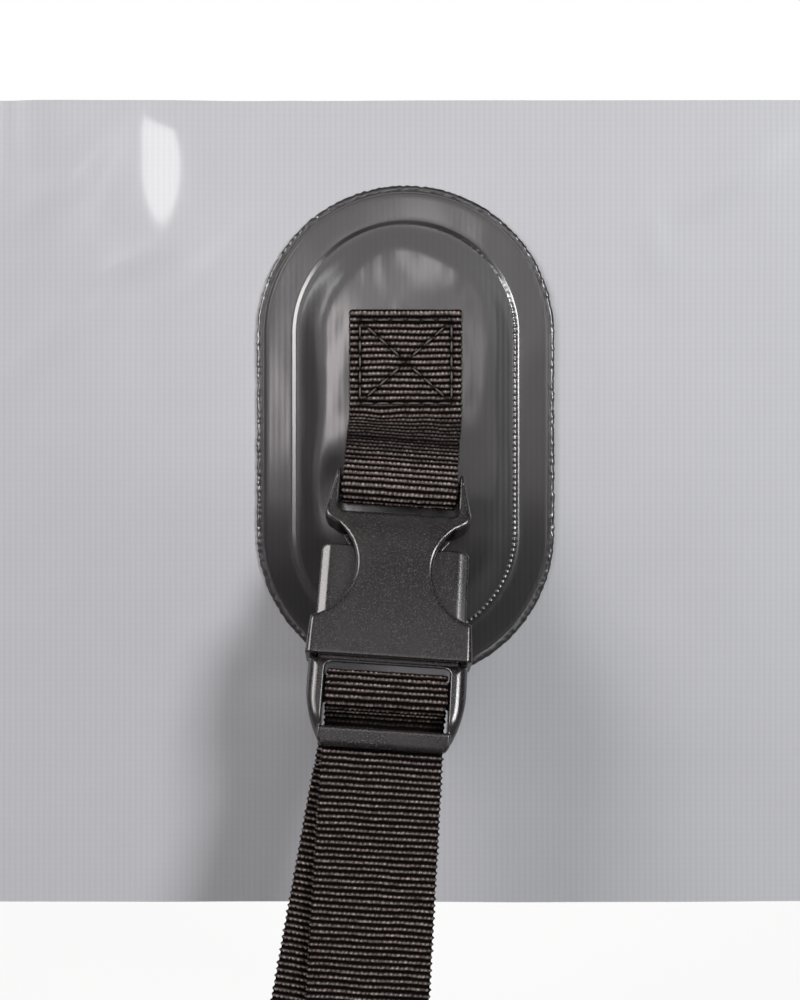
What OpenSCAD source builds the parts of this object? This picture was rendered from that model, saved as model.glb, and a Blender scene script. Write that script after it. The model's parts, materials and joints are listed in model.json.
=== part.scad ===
// Quick-release strap anchor on a panel of coated-fabric bag wall.
// +Z is up, -Y faces away from the bag, and the origin is on the back of the wall behind the patch centre.
// The buckle is drawn in its own frame, with the socket's webbing bar on the X axis, the front at -Y
// and the strap running down -Z. buckle_place() then hangs it on the wall.

/* [Bag wall] */
// Width of the wall panel
wall_w = 184; // [120:1:260]
// Height of the wall panel
wall_h = 178; // [150:1:260]
// Height of the panel above the patch centre
wall_above = 74; // [62:1:100]
// Thickness of the coated fabric
wall_t = 1; // [0.6:0.1:1.6]
// Corner radius of the cut panel
wall_corner_r = 3; // [1:0.5:12]

/* [Patch] */
// Width of the oval patch
patch_w = 66; // [62:1:90]
// Height of the oval patch
patch_h = 110; // [100:1:150]
// Thickness of the patch sheet
patch_t = 0.9; // [0.6:0.1:1.4]
// Width of the welded border
weld_w = 8.3; // [5:0.1:12]
// Thickness of the backing pad under the raised middle
pad_t = 1.2; // [0.6:0.1:2]
// Width of the ramp from the border to the raised middle
ramp_w = 1.8; // [1:0.1:3]

/* [Webbing] */
// Width of the webbing
web_w = 25; // [24:0.5:26]
// Thickness of the webbing
web_t = 1.6; // [1.2:0.1:1.8]
// Height of the sewn tab's top edge above the patch centre
tab_top = 27.3; // [24:0.1:34]
// Height at which the webbing leaves the patch
tab_bottom = 4.5; // [4:0.1:8]
// Width of the stitched box
box_w = 20; // [14:0.5:22]
// Height of the stitched box
box_h = 18.2; // [12:0.2:19]
// Length of one stitch
stitch_l = 2.4; // [2:0.1:4]
// Thickness of the sewing thread
thread_d = 0.5; // [0.3:0.05:0.8]

/* [Buckle pose] */
// Distance of the socket's bar in front of the bag wall
bar_out = 9.5; // [9:0.1:14]
// Drop of the socket's bar below the patch centre
bar_drop = 12.6; // [11:0.1:18]
// Sideways shift of the socket's bar
bar_side = -1.3; // [-3:0.1:3]
// Angle at which the buckle stands out from the wall
buckle_tilt = 20; // [16:1:30]
// Angle by which the buckle hangs to one side
buckle_roll = 3.8; // [0:0.1:6]

/* [Socket] */
// Length from the bar's axis to the mouth
socket_len = 38.1; // [36:0.1:44]
// Width at the mouth
socket_w = 34.4; // [33:0.1:36]
// Depth at the mouth
socket_d = 10.6; // [10:0.1:12]
// Depth at the bar
neck_d = 6; // [5:0.1:7]
// Thickness of the side walls at the mouth
side_wall = 2.4; // [2:0.1:2.6]
// Thickness of the front and back plates
plate_t = 1.8; // [1.4:0.1:2.1]
// Radius of the webbing bar
bar_r = 2.2; // [1.8:0.1:2.4]
// Open height of the slot under the bar
socket_slot_h = 4.3; // [4:0.1:6]
// Thickness of the wall between the slot and the cavity
end_wall = 3.1; // [2:0.1:4]
// Width between the finger notches
waist_w = 16; // [15:0.1:17.5]
// Radius of the finger notches
notch_r = 11.7; // [11:0.1:12.5]
// Distance of the notch centres below the bar
notch_drop = 18.9; // [18:0.1:20]

/* [Plug] */
// Sideways bite of each latch shoulder on the socket's side wall
latch_bite = 0.8; // [0.5:0.05:1]
// Depth of the release arms
arm_d = 5.8; // [5:0.1:6.2]
// Width of the bevel along each arm's outer edges
arm_bevel = 2; // [1:0.1:2.6]
// Width of the flexing stem of each arm
stem_w = 1.8; // [1.4:0.1:2]
// Width of the guide tongue
tongue_w = 6.4; // [5:0.1:6.6]
// Thickness of the guide tongue
tongue_t = 2.8; // [2:0.1:3.4]
// Width of the adjuster frame
frame_w = 32.8; // [32:0.1:35]
// Depth of the adjuster frame
frame_d = 8.4; // [8:0.1:9]
// Height of the beam above the first slot
beam_h = 1; // [0.8:0.1:2]
// Open height of the first slot
slot_1_h = 2.4; // [2.2:0.1:3.4]
// Height of the middle bar
mid_bar_h = 5.6; // [5:0.1:6.4]
// Thickness of the middle bar
mid_bar_t = 3; // [2.6:0.1:3.2]
// Open height of the second slot
slot_2_h = 5.1; // [4.6:0.1:6]
// Height of the end bar
end_bar_h = 3.8; // [3:0.1:5]

/* [Strap] */
// Sideways shift of the load strand below the buckle
load_shift = -1.2; // [-1.5:0.1:1.5]
// Length of the load strand below the buckle
load_l = 72; // [40:1:140]
// Length of the tail below the buckle
tail_l = 62; // [40:1:140]
// Length of the tail's folded hem
hem_l = 14; // [8:1:20]
// Sideways slant of the load strand
load_skew = 10.1; // [5:0.1:12]
// Sideways slant of the tail
tail_skew = 3.4; // [0:0.1:6]
// Angle at which the strands stand out from the wall
strand_tilt = 5; // [2:0.5:10]

/* [Clearances] */
// Gap on each side of webbing in a slot
web_gap = 0.3; // [0.2:0.05:0.5]
// Gap around the plug in the socket
plug_gap = 0.3; // [0.2:0.05:0.4]
// Running gap between webbing and a bar, and between layers
layer_gap = 0.1; // [0.05:0.05:0.2]
// Gap between a latch shoulder and the wall that it catches
latch_gap = 0.25; // [0.15:0.05:0.4]
// Running gap round an arm's root
root_gap = 0.1; // [0.05:0.05:0.15]

/* [Hidden] */
$fn = 48;
LEFT = -1;
RIGHT = 1;

wall_grey = [0.54, 0.545, 0.58];
patch_black = [0.055, 0.049, 0.056];
web_black = [0.03, 0.023, 0.021];
thread_black = [0.02, 0.016, 0.015];
plastic_black = [0.027, 0.024, 0.025];

// Patch
patch_straight = patch_h - patch_w;
raised_r = patch_w / 2 - weld_w;
raised_h = patch_t + pad_t;
pad_gap = 0.2;
patch_front = wall_t + raised_h;

// Sewn tab: a back and a front layer, folded over at the top
back_y = -(patch_front + web_t / 2);
front_y = back_y - web_t - layer_gap;
fold_r = (web_t + layer_gap) / 2;
fold_z = tab_top - fold_r - web_t / 2;
butt_gap = 0.5;
butt_z = (tab_top + tab_bottom) / 2;
crease_z = tab_bottom - 1.5;
seam_overlap = 0.1;
stitch_lift = 0.3;
stitch_pitch = 3.2;

// Socket
bar_at = [bar_side, -bar_out, -bar_drop];
slot_half = web_w / 2 + web_gap;
slot_end = bar_r + socket_slot_h;
cavity_top = slot_end + end_wall;
throat_half = socket_w / 2 - side_wall;
cavity_half_d = socket_d / 2 - plate_t;
notch_x = waist_w / 2 + notch_r;
ear_top = bar_r + web_t;
ear_x = slot_half + 0.1;
ear_z = -6.2;
ear_lead = [notch_x - ear_x, -notch_drop - ear_z];
ear_r = norm(ear_lead) - notch_r;
ear_turn = atan2(ear_lead[1], ear_lead[0]);
mouth_half = socket_w / 2;
block_half = mouth_half - 0.6;
socket_corner_r = 1.8;
slot_corner_r = 1.5;
guide_x = tongue_w / 2 + plug_gap + 0.2;
guide_w = 1;
guide_h = 1.2;
guide_top = -28;

// Plug
plug_top = -(socket_len + plug_gap);
slot_1_top = plug_top - beam_h;
mid_top = slot_1_top - slot_1_h;
mid_bottom = mid_top - mid_bar_h;
end_top = mid_bottom - slot_2_h;
end_bottom = end_top - end_bar_h;
mid_r = mid_bar_t / 2;
mid_y = -1.1;
mid_upper_z = mid_top - mid_r;
mid_lower_z = mid_bottom + mid_r;
end_bar_back = -0.1;
end_bar_front = -3.6;
rail_arc_r = 25;
rail_arc_z = slot_1_top - 3.6;
frame_corner_r = 3;
base_half = throat_half - plug_gap;
base_half_d = cavity_half_d - plug_gap;
base_top = -(socket_len - 3.1);
tongue_top = -(cavity_top + 3.1);

// Release arms, given for the right one
root_x = base_half - 2.2;
root_z = base_top - 0.6;
root_r = 1.2;
arm_outer = throat_half + latch_bite;
shoulder_z = -(notch_drop + sqrt(notch_r^2 - (notch_x - throat_half)^2)) + latch_gap;
arm_tip_z = -(notch_drop - 5);
arm_inner = waist_w / 2 - 0.6;

// Strap in the buckle's frame
wrap_r = mid_r + layer_gap + web_t / 2;
tail_y = end_bar_back + 0.6 + web_t / 2;
strand_spacing = 0.9;
load_y = tail_y + web_t + strand_spacing;
strand_r = web_t / 2;
strand_z = end_bottom - strand_r - 0.3;
strand_gap = 0.1;
tail_pivot = [0, tail_y, strand_z];
load_pivot = [load_shift, load_y, strand_z];
bend_l = 9;
strand_down = [-sin(strand_tilt), -cos(strand_tilt)];
strand_out = [-cos(strand_tilt), sin(strand_tilt)];
strand_lead = web_w / 2 * sin(load_skew);
hem_row = 2.8;

// ---- points and paths ----

// Points on an arc, from angle a to angle b
function arc(c, r, a, b, n = 10) =
    [for (i = [0:n]) let (t = a + (b - a) * i / n) [c[0] + r * cos(t), c[1] + r * sin(t)]];

function last(path) = path[len(path) - 1];

// A half outline, given top to bottom on the +X side, closed by its mirror image
function mirrored(half) =
    concat(half, [for (i = [len(half) - 1:-1:0]) [-half[i][0], half[i][1]]]);

function rounded_rect(hx, hy, r) =
    concat(arc([hx - r, hy - r], r, 0, 90), arc([-(hx - r), hy - r], r, 90, 180),
        arc([-(hx - r), -(hy - r)], r, 180, 270), arc([hx - r, -(hy - r)], r, 270, 360));

// Direction of a path at point i
function heading(path, i) =
    let (a = path[max(i - 1, 0)], b = path[min(i + 1, len(path) - 1)]) (b - a) / norm(b - a);

// The outline of a strip of thickness t whose middle follows the path
function strip(path, t) =
    let (side = [for (i = [0:len(path) - 1]) let (h = heading(path, i)) [-h[1], h[0]] * t / 2])
    concat([for (i = [0:len(path) - 1]) path[i] + side[i]],
        [for (i = [len(path) - 1:-1:0]) path[i] - side[i]]);

// A smooth curve between two points with given end directions
function blend_curve(p, u, q, v, n = 10) =
    [for (i = [1:n - 1]) let (t = i / n, s = 1 - t)
        p * (s * s * (1 + 2 * t)) + q * (t * t * (3 - 2 * t)) + u * (s * s * t) - v * (t * t * s)];

// Where a line from p touches the circle round c; side is 1 or -1
function touch(p, c, r, side) =
    let (d = c - p, l = norm(d), a = atan2(d[1], d[0]) + side * asin(r / l))
    p + sqrt(l * l - r * r) * [cos(a), sin(a)];

function bearing(c, p) = let (d = p - c) atan2(d[1], d[0]);

// ---- solids from outlines ----

// An XZ outline, extruded along Y
module prism_y(points, depth) {
    rotate([90, 0, 0]) linear_extrude(depth, center = true) polygon(points);
}

// A YZ outline, extruded along X
module prism_x(points, width) {
    rotate([90, 0, 90]) linear_extrude(width, center = true) polygon(points);
}

// A solid whose section, as [distance from the middle, height], falls off alike round an oval
module oval(section, straight) {
    for (s = [-1, 1]) translate([0, s * straight / 2, 0]) rotate_extrude() polygon(section);
    rotate([90, 0, 0]) linear_extrude(straight, center = true) polygon(mirrored(section));
}

module bar_x(r, length, y = 0, z = 0) {
    translate([0, y, z]) rotate([0, 90, 0]) cylinder(h = length, r = r, center = true);
}

module pin_y(r, length, x, z) {
    translate([x, 0, z]) rotate([90, 0, 0]) cylinder(h = length, r = r, center = true);
}

module box_between(low, high) {
    translate(low) cube(high - low);
}

module buckle_place() {
    translate(bar_at) rotate([-buckle_tilt, buckle_roll, 0]) children();
}

// Stands its children on the front of the wall, their Z pointing out
module on_wall() {
    translate([0, -wall_t, 0]) rotate([90, 0, 0]) children();
}

// ---- wall and patch ----

module wall_panel() {
    color(wall_grey) translate([0, 0, wall_above - wall_h / 2]) rotate([90, 0, 0])
        linear_extrude(wall_t) polygon(rounded_rect(wall_w / 2, wall_h / 2, wall_corner_r));
}

// The raised middle's section, with an S-shaped ramp of the given foot radius
function raised_section(foot, low, high) =
    concat([[0, low]], [[foot, low]],
        [for (i = [0:8]) [foot - ramp_w * i / 8, low + (high - low) * (1 - cos(180 * i / 8)) / 2]],
        [[0, high]]);

module anchor_patch() {
    color(patch_black) on_wall() difference() {
        union() {
            oval([[0, 0], [patch_w / 2, 0], [patch_w / 2, patch_t], [0, patch_t]], patch_straight);
            oval(raised_section(raised_r + ramp_w / 2, patch_t / 2, raised_h), patch_straight);
        }
        oval([[0, -1], [raised_r - ramp_w, -1], [raised_r - ramp_w, pad_t], [0, pad_t]], patch_straight);
    }
}

module backing_pad() {
    pad_r = raised_r - ramp_w - pad_gap;
    color(patch_black) on_wall() oval([[0, 0], [pad_r, 0], [pad_r, pad_t], [0, pad_t]], patch_straight);
}

// ---- anchor webbing ----

loop_r = bar_r + layer_gap + web_t / 2;
loop_c = [bar_at[1], bar_at[2]];
back_touch = touch([back_y, crease_z], loop_c, loop_r, 1);
front_touch = touch([front_y, crease_z], loop_c, loop_r, -1);
loop_path = concat([[back_y, crease_z]],
    arc(loop_c, loop_r, bearing(loop_c, back_touch), bearing(loop_c, front_touch) - 360, 24),
    [[front_y, crease_z]]);

module webbing_loop() {
    translate(bar_at) rotate([0, buckle_roll, 0]) translate([0, bar_out, bar_drop]) children();
}

// One layer of webbing carried from the straight tab into the slanted loop
module webbing_turn(y) {
    hull() {
        translate([0, y, tab_bottom + seam_overlap / 2]) cube([web_w, web_t, seam_overlap], center = true);
        webbing_loop() translate([0, y, crease_z - seam_overlap / 2])
            cube([web_w, web_t, seam_overlap], center = true);
    }
}

module anchor_webbing() {
    tab_path = concat([[front_y, tab_bottom]], arc([(back_y + front_y) / 2, fold_z], fold_r, 180, 0, 8),
        [[back_y, butt_z + butt_gap / 2]]);
    color(web_black) {
        prism_x(strip(tab_path, web_t), web_w);
        prism_x(strip([[back_y, tab_bottom], [back_y, butt_z - butt_gap / 2]], web_t), web_w);
        for (y = [back_y, front_y]) webbing_turn(y);
        webbing_loop() prism_x(strip(loop_path, web_t), web_w);
    }
}

// One row of stitches between two points of the XZ plane, lying on the surface at y
module stitch_row(from, to, y) {
    span = to - from;
    count = max(1, floor(norm(span) / stitch_pitch));
    for (i = [0:count - 1]) {
        mid = from + span * (i + 0.5) / count;
        translate([mid[0], y, mid[1]]) rotate([0, -atan2(span[1], span[0]), 0]) rotate([90, 0, 0])
            linear_extrude(stitch_lift) {
                square([stitch_l - thread_d, thread_d], center = true);
                for (s = [-1, 1]) translate([s * (stitch_l - thread_d) / 2, 0]) circle(d = thread_d, $fn = 16);
            }
    }
}

module box_stitching() {
    face = front_y - web_t / 2;
    low = tab_bottom + 1.8;
    x = box_w / 2;
    high = low + box_h;
    inset = stitch_pitch / 2;
    color(thread_black) {
        stitch_row([-x, low], [x, low], face);
        stitch_row([-x, high], [x, high], face);
        for (s = [-1, 1]) {
            stitch_row([s * x, low + inset / 2], [s * x, high - inset / 2], face);
            stitch_row([s * (x - inset), low + inset], [s * inset * 0.8, low + box_h / 2 - inset * 0.7], face);
            stitch_row([s * inset * 0.8, low + box_h / 2 + inset * 0.7], [s * (x - inset), high - inset], face);
        }
        stitch_row([-stitch_l / 2, low + box_h / 2], [stitch_l / 2, low + box_h / 2], face);
    }
}

// ---- buckle socket ----

socket_outline = mirrored(concat(
    [[slot_half - 1, ear_top]],
    arc([slot_half - 0.6, ear_top - 1.5], 1.5, 80, 18, 5),
    arc([ear_x, ear_z], ear_r, 16, ear_turn, 8),
    arc([notch_x, -notch_drop], notch_r, ear_turn + 180, 180 + acos((notch_x - block_half) / notch_r), 22),
    [[mouth_half, -socket_len]]));

socket_side = mirrored(concat(
    [[neck_d / 2 - 0.9, ear_top + 0.1], [neck_d / 2, ear_top - 1.2], [neck_d / 2, -slot_end + 2.4]],
    blend_curve([neck_d / 2, -slot_end + 2.4], [0, -8], [socket_d / 2 - 0.2, -cavity_top - 5], [0.3, -8]),
    [[socket_d / 2 - 0.2, -cavity_top - 5], [socket_d / 2, -socket_len]]));

module socket_slot() {
    translate([0, 0, -slot_end + slot_corner_r]) {
        translate([0, 0, 10]) cube([2 * slot_half, 2 * socket_d, 20], center = true);
        cube([2 * (slot_half - slot_corner_r), 2 * socket_d, 2 * slot_corner_r], center = true);
        for (s = [-1, 1]) pin_y(slot_corner_r, 2 * socket_d, s * (slot_half - slot_corner_r), 0);
    }
}

module buckle_socket() {
    color(plastic_black) buckle_place() {
        difference() {
            intersection() {
                prism_y(socket_outline, 2 * socket_d);
                translate([0, 0, -socket_len]) linear_extrude(socket_len + ear_top)
                    polygon(rounded_rect(mouth_half, socket_d / 2, socket_corner_r));
                prism_x(socket_side, 2 * socket_w);
            }
            socket_slot();
            box_between([-throat_half, -cavity_half_d, -socket_len - 1], [throat_half, cavity_half_d, -cavity_top]);
        }
        bar_x(bar_r, 2 * slot_half + 1);
        for (sx = [-1, 1], sy = [-1, 1]) scale([sx, sy, 1])
            box_between([guide_x, cavity_half_d - guide_h, base_top + plug_gap],
                [guide_x + guide_w, cavity_half_d + 0.4, guide_top]);
    }
}

// ---- buckle plug ----

frame_outline = mirrored(concat(
    [[frame_w / 2, plug_top]],
    arc([frame_w / 2 - rail_arc_r, rail_arc_z], rail_arc_r, 0, -asin((rail_arc_z - end_bottom) / rail_arc_r), 12)));

frame_side = mirrored(concat(
    [[frame_d / 2, plug_top + 0.1], [frame_d / 2, end_top + 3]],
    arc([frame_d / 2 - 7, end_top + 3], 7, 0, -44, 8),
    [[frame_d / 2 - 3, end_bottom - 1]]));

module adjuster_blank() {
    intersection() {
        prism_y(frame_outline, 2 * frame_d);
        translate([0, 0, end_bottom - 1]) linear_extrude(plug_top - end_bottom + 1)
            polygon(rounded_rect(frame_w / 2, frame_d / 2, frame_corner_r));
        prism_x(frame_side, 2 * frame_w);
    }
}

module adjuster_window() {
    translate([0, 0, slot_1_top - slot_corner_r]) {
        translate([0, 0, -15]) cube([2 * slot_half, 2 * frame_d, 30], center = true);
        cube([2 * (slot_half - slot_corner_r), 2 * frame_d, 2 * slot_corner_r], center = true);
        for (s = [-1, 1]) pin_y(slot_corner_r, 2 * frame_d, s * (slot_half - slot_corner_r), 0);
    }
}

module middle_bar() {
    for (z = [mid_upper_z, mid_lower_z]) bar_x(mid_r, 2 * slot_half + 1, mid_y, z);
    box_between([-slot_half - 0.5, mid_y - mid_r, mid_lower_z], [slot_half + 0.5, mid_y + mid_r, mid_upper_z]);
}

// The end bar leans back towards its lower edge and fills the width between the rails
module end_bar() {
    intersection() {
        prism_x([[end_bar_back, end_top], [end_bar_front + 0.4, end_top], [end_bar_front, end_top - 0.4],
            [end_bar_front + 0.7, end_bottom + 0.5], [end_bar_front + 1.1, end_bottom],
            [end_bar_back - 0.5, end_bottom], [end_bar_back, end_bottom + 0.6]], 2 * slot_half + 1);
        prism_y(frame_outline, 2 * frame_d);
    }
}

module tongue() {
    tip = tongue_w / 2 - 1;
    prism_y(mirrored([[tip - 1, tongue_top], [tip, tongue_top - 1.2], [tongue_w / 2, tongue_top - 7],
        [tongue_w / 2, base_top - 1]]), tongue_t);
}

module buckle_plug() {
    color(plastic_black) buckle_place() difference() {
        union() {
            difference() {
                adjuster_blank();
                adjuster_window();
            }
            middle_bar();
            end_bar();
            box_between([-base_half, -base_half_d, slot_1_top], [base_half, base_half_d, base_top]);
            tongue();
        }
        for (s = [-1, 1]) pin_y(root_r + root_gap, 2 * frame_d, s * root_x, root_z);
    }
}

// ---- release arms ----

arm_outline = concat(
    arc([arm_outer - 1.4, arm_tip_z - 1.4], 1.4, 90, 0, 6),
    [[arm_outer, shoulder_z], [root_x + stem_w / 2, shoulder_z], [root_x + stem_w / 2, root_z],
        [root_x - stem_w / 2, root_z], [root_x - stem_w / 2, shoulder_z - 1.8], [arm_inner + 1.6, shoulder_z + 1.2],
        [arm_inner, shoulder_z + 3.2], [arm_inner, arm_tip_z - 3.6], [arm_inner + 1, arm_tip_z - 0.6],
        [arm_inner + 1.6, arm_tip_z]]);

module release_arm(side) {
    edge = arm_outer - arm_bevel;
    y = arm_d / 2;
    low_y = y - arm_bevel / 2;
    color(plastic_black) buckle_place() scale([side, 1, 1]) {
        intersection() {
            prism_y(arm_outline, arm_d);
            translate([0, 0, root_z]) linear_extrude(30)
                polygon([[0, -y], [edge, -y], [arm_outer, -low_y], [arm_outer, low_y], [edge, y], [0, y]]);
        }
        pin_y(root_r, arm_d, root_x, root_z);
    }
}

// ---- strap ----

wrap_end = strand_z + strand_r + strand_gap;
wrap_path = concat(
    [[load_y, wrap_end], [load_y, wrap_end + 1.5]],
    blend_curve([load_y, wrap_end + 1.5], [0, 12], [mid_y + wrap_r, mid_lower_z], [0, 6]),
    [[mid_y + wrap_r, mid_lower_z]],
    arc([mid_y, mid_upper_z], wrap_r, 0, 180, 16),
    arc([mid_y, mid_lower_z], wrap_r, 180, 258, 8),
    blend_curve([mid_y, mid_lower_z] + wrap_r * [cos(258), sin(258)], 4 * [cos(348), sin(348)],
        [tail_y, end_top], [0, -4]),
    [[tail_y, end_top], [tail_y, wrap_end]]);

module strap_wrap() {
    color(web_black) buckle_place() prism_x(strip(wrap_path, web_t), web_w);
}

// Middle line of a strand below its pivot, bending from the buckle's slope to its own
function strand_path(length) =
    let (turn = buckle_tilt - strand_tilt, r = bend_l / (turn * PI / 180))
    let (c = r * [cos(buckle_tilt), -sin(buckle_tilt)])
    let (bend = [for (i = [0:8]) let (a = buckle_tilt - turn * i / 8) c + r * [-cos(a), sin(a)]])
    concat([strand_lead * [sin(buckle_tilt), cos(buckle_tilt)]], bend, [bend[8] + (length - bend_l) * strand_down]);

// Stands children at a strand's pivot, slanted sideways by skew
module strand_place(pivot, skew) {
    translate(bar_at) rotate([0, buckle_roll, 0]) rotate([-buckle_tilt, 0, 0]) translate(pivot)
        rotate([buckle_tilt, 0, 0]) rotate([0, skew - buckle_roll, 0]) children();
}

// A strand along a path, square to the buckle at its pivot and rounded there, so that it can bend
module strand(pivot, skew, path) {
    color(web_black) {
        buckle_place() translate(pivot) bar_x(strand_r, web_w);
        difference() {
            strand_place(pivot, skew) prism_x(strip(path, web_t), web_w);
            buckle_place() translate(pivot) translate([0, 0, web_w]) cube(2 * web_w, center = true);
        }
    }
}

module load_strand() {
    strand(load_pivot, load_skew, strand_path(load_l));
}

module tail_strand() {
    end = last(strand_path(tail_l));
    turn_c = end + strand_out * fold_r;
    fold = [for (a = [22.5:22.5:180]) turn_c + fold_r * (sin(a) * strand_down - cos(a) * strand_out)];
    strand(tail_pivot, tail_skew, concat(strand_path(tail_l), fold, [last(fold) - hem_l * strand_down]));
}

module hem_stitching() {
    end = last(strand_path(tail_l));
    x = web_w / 2 - hem_row;
    color(thread_black) strand_place(tail_pivot, tail_skew) translate([0, end[0], end[1]])
        rotate([-strand_tilt, 0, 0]) for (z = [hem_row, hem_l - hem_row])
            stitch_row([-x, z], [x, z], -(web_t * 1.5 + layer_gap));
}

wall_panel();
anchor_patch();
backing_pad();
anchor_webbing();
box_stitching();
buckle_socket();
buckle_plug();
release_arm(LEFT);  // left_release_arm
release_arm(RIGHT);  // right_release_arm
strap_wrap();
load_strand();
tail_strand();
hem_stitching();
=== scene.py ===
# %% [markdown]
# # A strap anchor on a bag wall
#
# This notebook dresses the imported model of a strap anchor: a square of grey coated fabric, an oval patch
# welded to it, a webbing loop sewn to the patch, a side-release buckle, and the strap in the buckle's
# adjuster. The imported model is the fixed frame: it says where every piece is and how it moves. Each cell
# makes one piece or one finish.
#
# Sizes are written in millimetres, because that is how sewn and moulded goods are drawn, and turned into
# Blender's metres where a mesh is made.

# %% Load the frame
import json
import math

import bmesh
import bpy
import numpy as np
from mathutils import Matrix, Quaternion, Vector, noise


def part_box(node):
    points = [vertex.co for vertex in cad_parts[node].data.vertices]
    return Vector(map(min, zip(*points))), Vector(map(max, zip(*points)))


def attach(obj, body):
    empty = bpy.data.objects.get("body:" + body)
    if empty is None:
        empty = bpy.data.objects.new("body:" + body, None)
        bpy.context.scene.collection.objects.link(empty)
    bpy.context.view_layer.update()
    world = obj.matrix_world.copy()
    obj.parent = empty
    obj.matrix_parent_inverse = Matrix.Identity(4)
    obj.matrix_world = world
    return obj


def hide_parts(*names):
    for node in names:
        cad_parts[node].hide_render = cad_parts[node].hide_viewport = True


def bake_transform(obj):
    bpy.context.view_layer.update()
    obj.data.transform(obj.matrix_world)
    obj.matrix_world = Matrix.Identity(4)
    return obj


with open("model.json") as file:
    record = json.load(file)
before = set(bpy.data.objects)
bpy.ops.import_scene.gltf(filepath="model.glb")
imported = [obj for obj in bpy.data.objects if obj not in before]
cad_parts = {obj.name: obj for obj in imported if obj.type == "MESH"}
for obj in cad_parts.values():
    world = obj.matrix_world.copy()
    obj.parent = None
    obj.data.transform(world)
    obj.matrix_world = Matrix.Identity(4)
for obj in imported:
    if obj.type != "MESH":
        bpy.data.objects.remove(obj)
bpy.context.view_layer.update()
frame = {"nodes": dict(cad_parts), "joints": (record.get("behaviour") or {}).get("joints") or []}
MM = 0.001
print("nodes:", ", ".join(sorted(frame["nodes"])))

# %% [markdown]
# ## The buckle's own frame
#
# The buckle hangs askew, tilted off the wall and rolled to one side, so it is easiest to shape in a frame of
# its own: the origin on the socket's bar, X along the bar, Z up the buckle and Y towards the wall. Two of the
# model's joints hold that frame already. The swing turns about the bar, and the release slides straight down
# the buckle.

# %% The buckle's own frame
joints = {joint["name"]: joint for joint in frame["joints"]}
bar = np.array(joints["buckle_swing"]["pos_m"]) / MM
across = -np.array(joints["buckle_swing"]["axis"])
upward = -np.array(joints["buckle_release"]["axis"])
inward = np.cross(upward, across)
BUCKLE = np.stack([across, inward, upward], axis=1)


def from_buckle(points):
    """Points of the buckle's frame, placed on the wall, in millimetres."""
    return bar + np.asarray(points) @ BUCKLE.T


roll = math.atan2(-across[2], across[0])
tilt = math.asin(-inward[2] / math.cos(roll))
print(f"bar at {bar.round(2)} mm, tilt {math.degrees(tilt):.1f}, roll {math.degrees(roll):.1f} degrees")

# %% [markdown]
# ## Camera
#
# The view is close and straight on. A long lens far away would show all depths at one scale, but the strap
# here is visibly wider where it comes forward, so the camera stands only 0.3 m off, a little below the middle
# of the patch.

# %% Camera
CAMERA_AT = (-1.25, -301.0, -14.8)
FOCAL_PX = 1350
IMAGE_H = 1000
SENSOR = 36.0

camera_data = bpy.data.cameras.new("camera")
camera_data.sensor_width = SENSOR
camera_data.lens = FOCAL_PX * SENSOR / IMAGE_H
camera_data.clip_start = 0.01
camera = bpy.data.objects.new("camera", camera_data)
camera.location = Vector(CAMERA_AT) * MM
camera.rotation_euler = (math.radians(90), 0, 0)
bpy.context.scene.collection.objects.link(camera)
bpy.context.scene.camera = camera
bpy.context.scene.view_settings.view_transform = "Standard"
print("lens", round(camera_data.lens, 1), "mm")

# %% [markdown]
# ## Light
#
# Dark plastic and coated fabric show their shape by what they mirror, so the lamps are large and soft. One
# stands to the right and a weaker one to the left, which gives the strap its two soft shadows.
#
# The cards and panes are faint. They light hardly anything, but the glossy coating mirrors them, as it would
# a room: the broad cards as a sheen, and the small panes, two of them hung askew, as the streaks of a window.
# The glint is a narrow lamp that the wall's one smooth spot mirrors. The last softbox stands high behind the
# wall, for views of its back.


# %% Lamps
def lamp(name, at, size, watts, look_at=(0, 0, -15), tint=(1, 1, 1), spin=0):
    """A rectangular lamp at one point, aimed at another and then spun about its own axis, in degrees."""
    data = bpy.data.lights.new(name, "AREA")
    data.shape = "RECTANGLE"
    data.size, data.size_y = size[0] * MM, size[1] * MM
    data.energy = watts
    data.color = tint
    obj = bpy.data.objects.new(name, data)
    obj.location = Vector(at) * MM
    aim = (Vector(look_at) - Vector(at)).to_track_quat("-Z", "Y")
    obj.rotation_euler = (aim @ Quaternion((0, 0, 1), math.radians(spin))).to_euler()
    bpy.context.scene.collection.objects.link(obj)


lamp("softbox_right", (705, -775, 250), (290, 430), 9.0, tint=(0.99, 1, 1))
lamp("softbox_left", (-700, -460, 290), (340, 560), 5.6, tint=(1, 0.965, 0.955))
lamp("card_top", (0, -900, 330), (620, 440), 0.66, tint=(1, 0.98, 0.98))
lamp("card_low", (0, -900, 45), (560, 130), 0.11, tint=(1, 0.97, 0.98))
lamp("card_high", (-40, -480, 640), (300, 420), 0.2, tint=(1, 0.97, 0.95))
lamp("pane_left", (-67, -880, 96), (48, 160), 0.135, tint=(1, 0.93, 0.94), spin=-14)
lamp("pane_middle", (23, -880, 215), (60, 34), 0.03, tint=(1, 0.95, 0.96))
lamp("pane_right", (64, -880, 104), (18, 96), 0.018, tint=(1, 0.94, 0.95), spin=-4)
lamp("glint", (-219, -940, 268), (52, 150), 0.075, look_at=(-54, 0, 58))
lamp("softbox_back", (0, 520, 760), (600, 320), 12.5, tint=(1, 0.99, 0.98))


# %% [markdown]
# ## Shader helpers
#
# A material is a graph of nodes. Written out in full, each node takes a line to make and one more for every
# input, so one helper does both. The others wrap the three nodes that the finishes below use most:
# arithmetic, a colour between two others, and bump.

# %% Shader helpers
NODE_SETTINGS = ("operation", "use_clamp", "data_type", "attribute_name")


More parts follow.
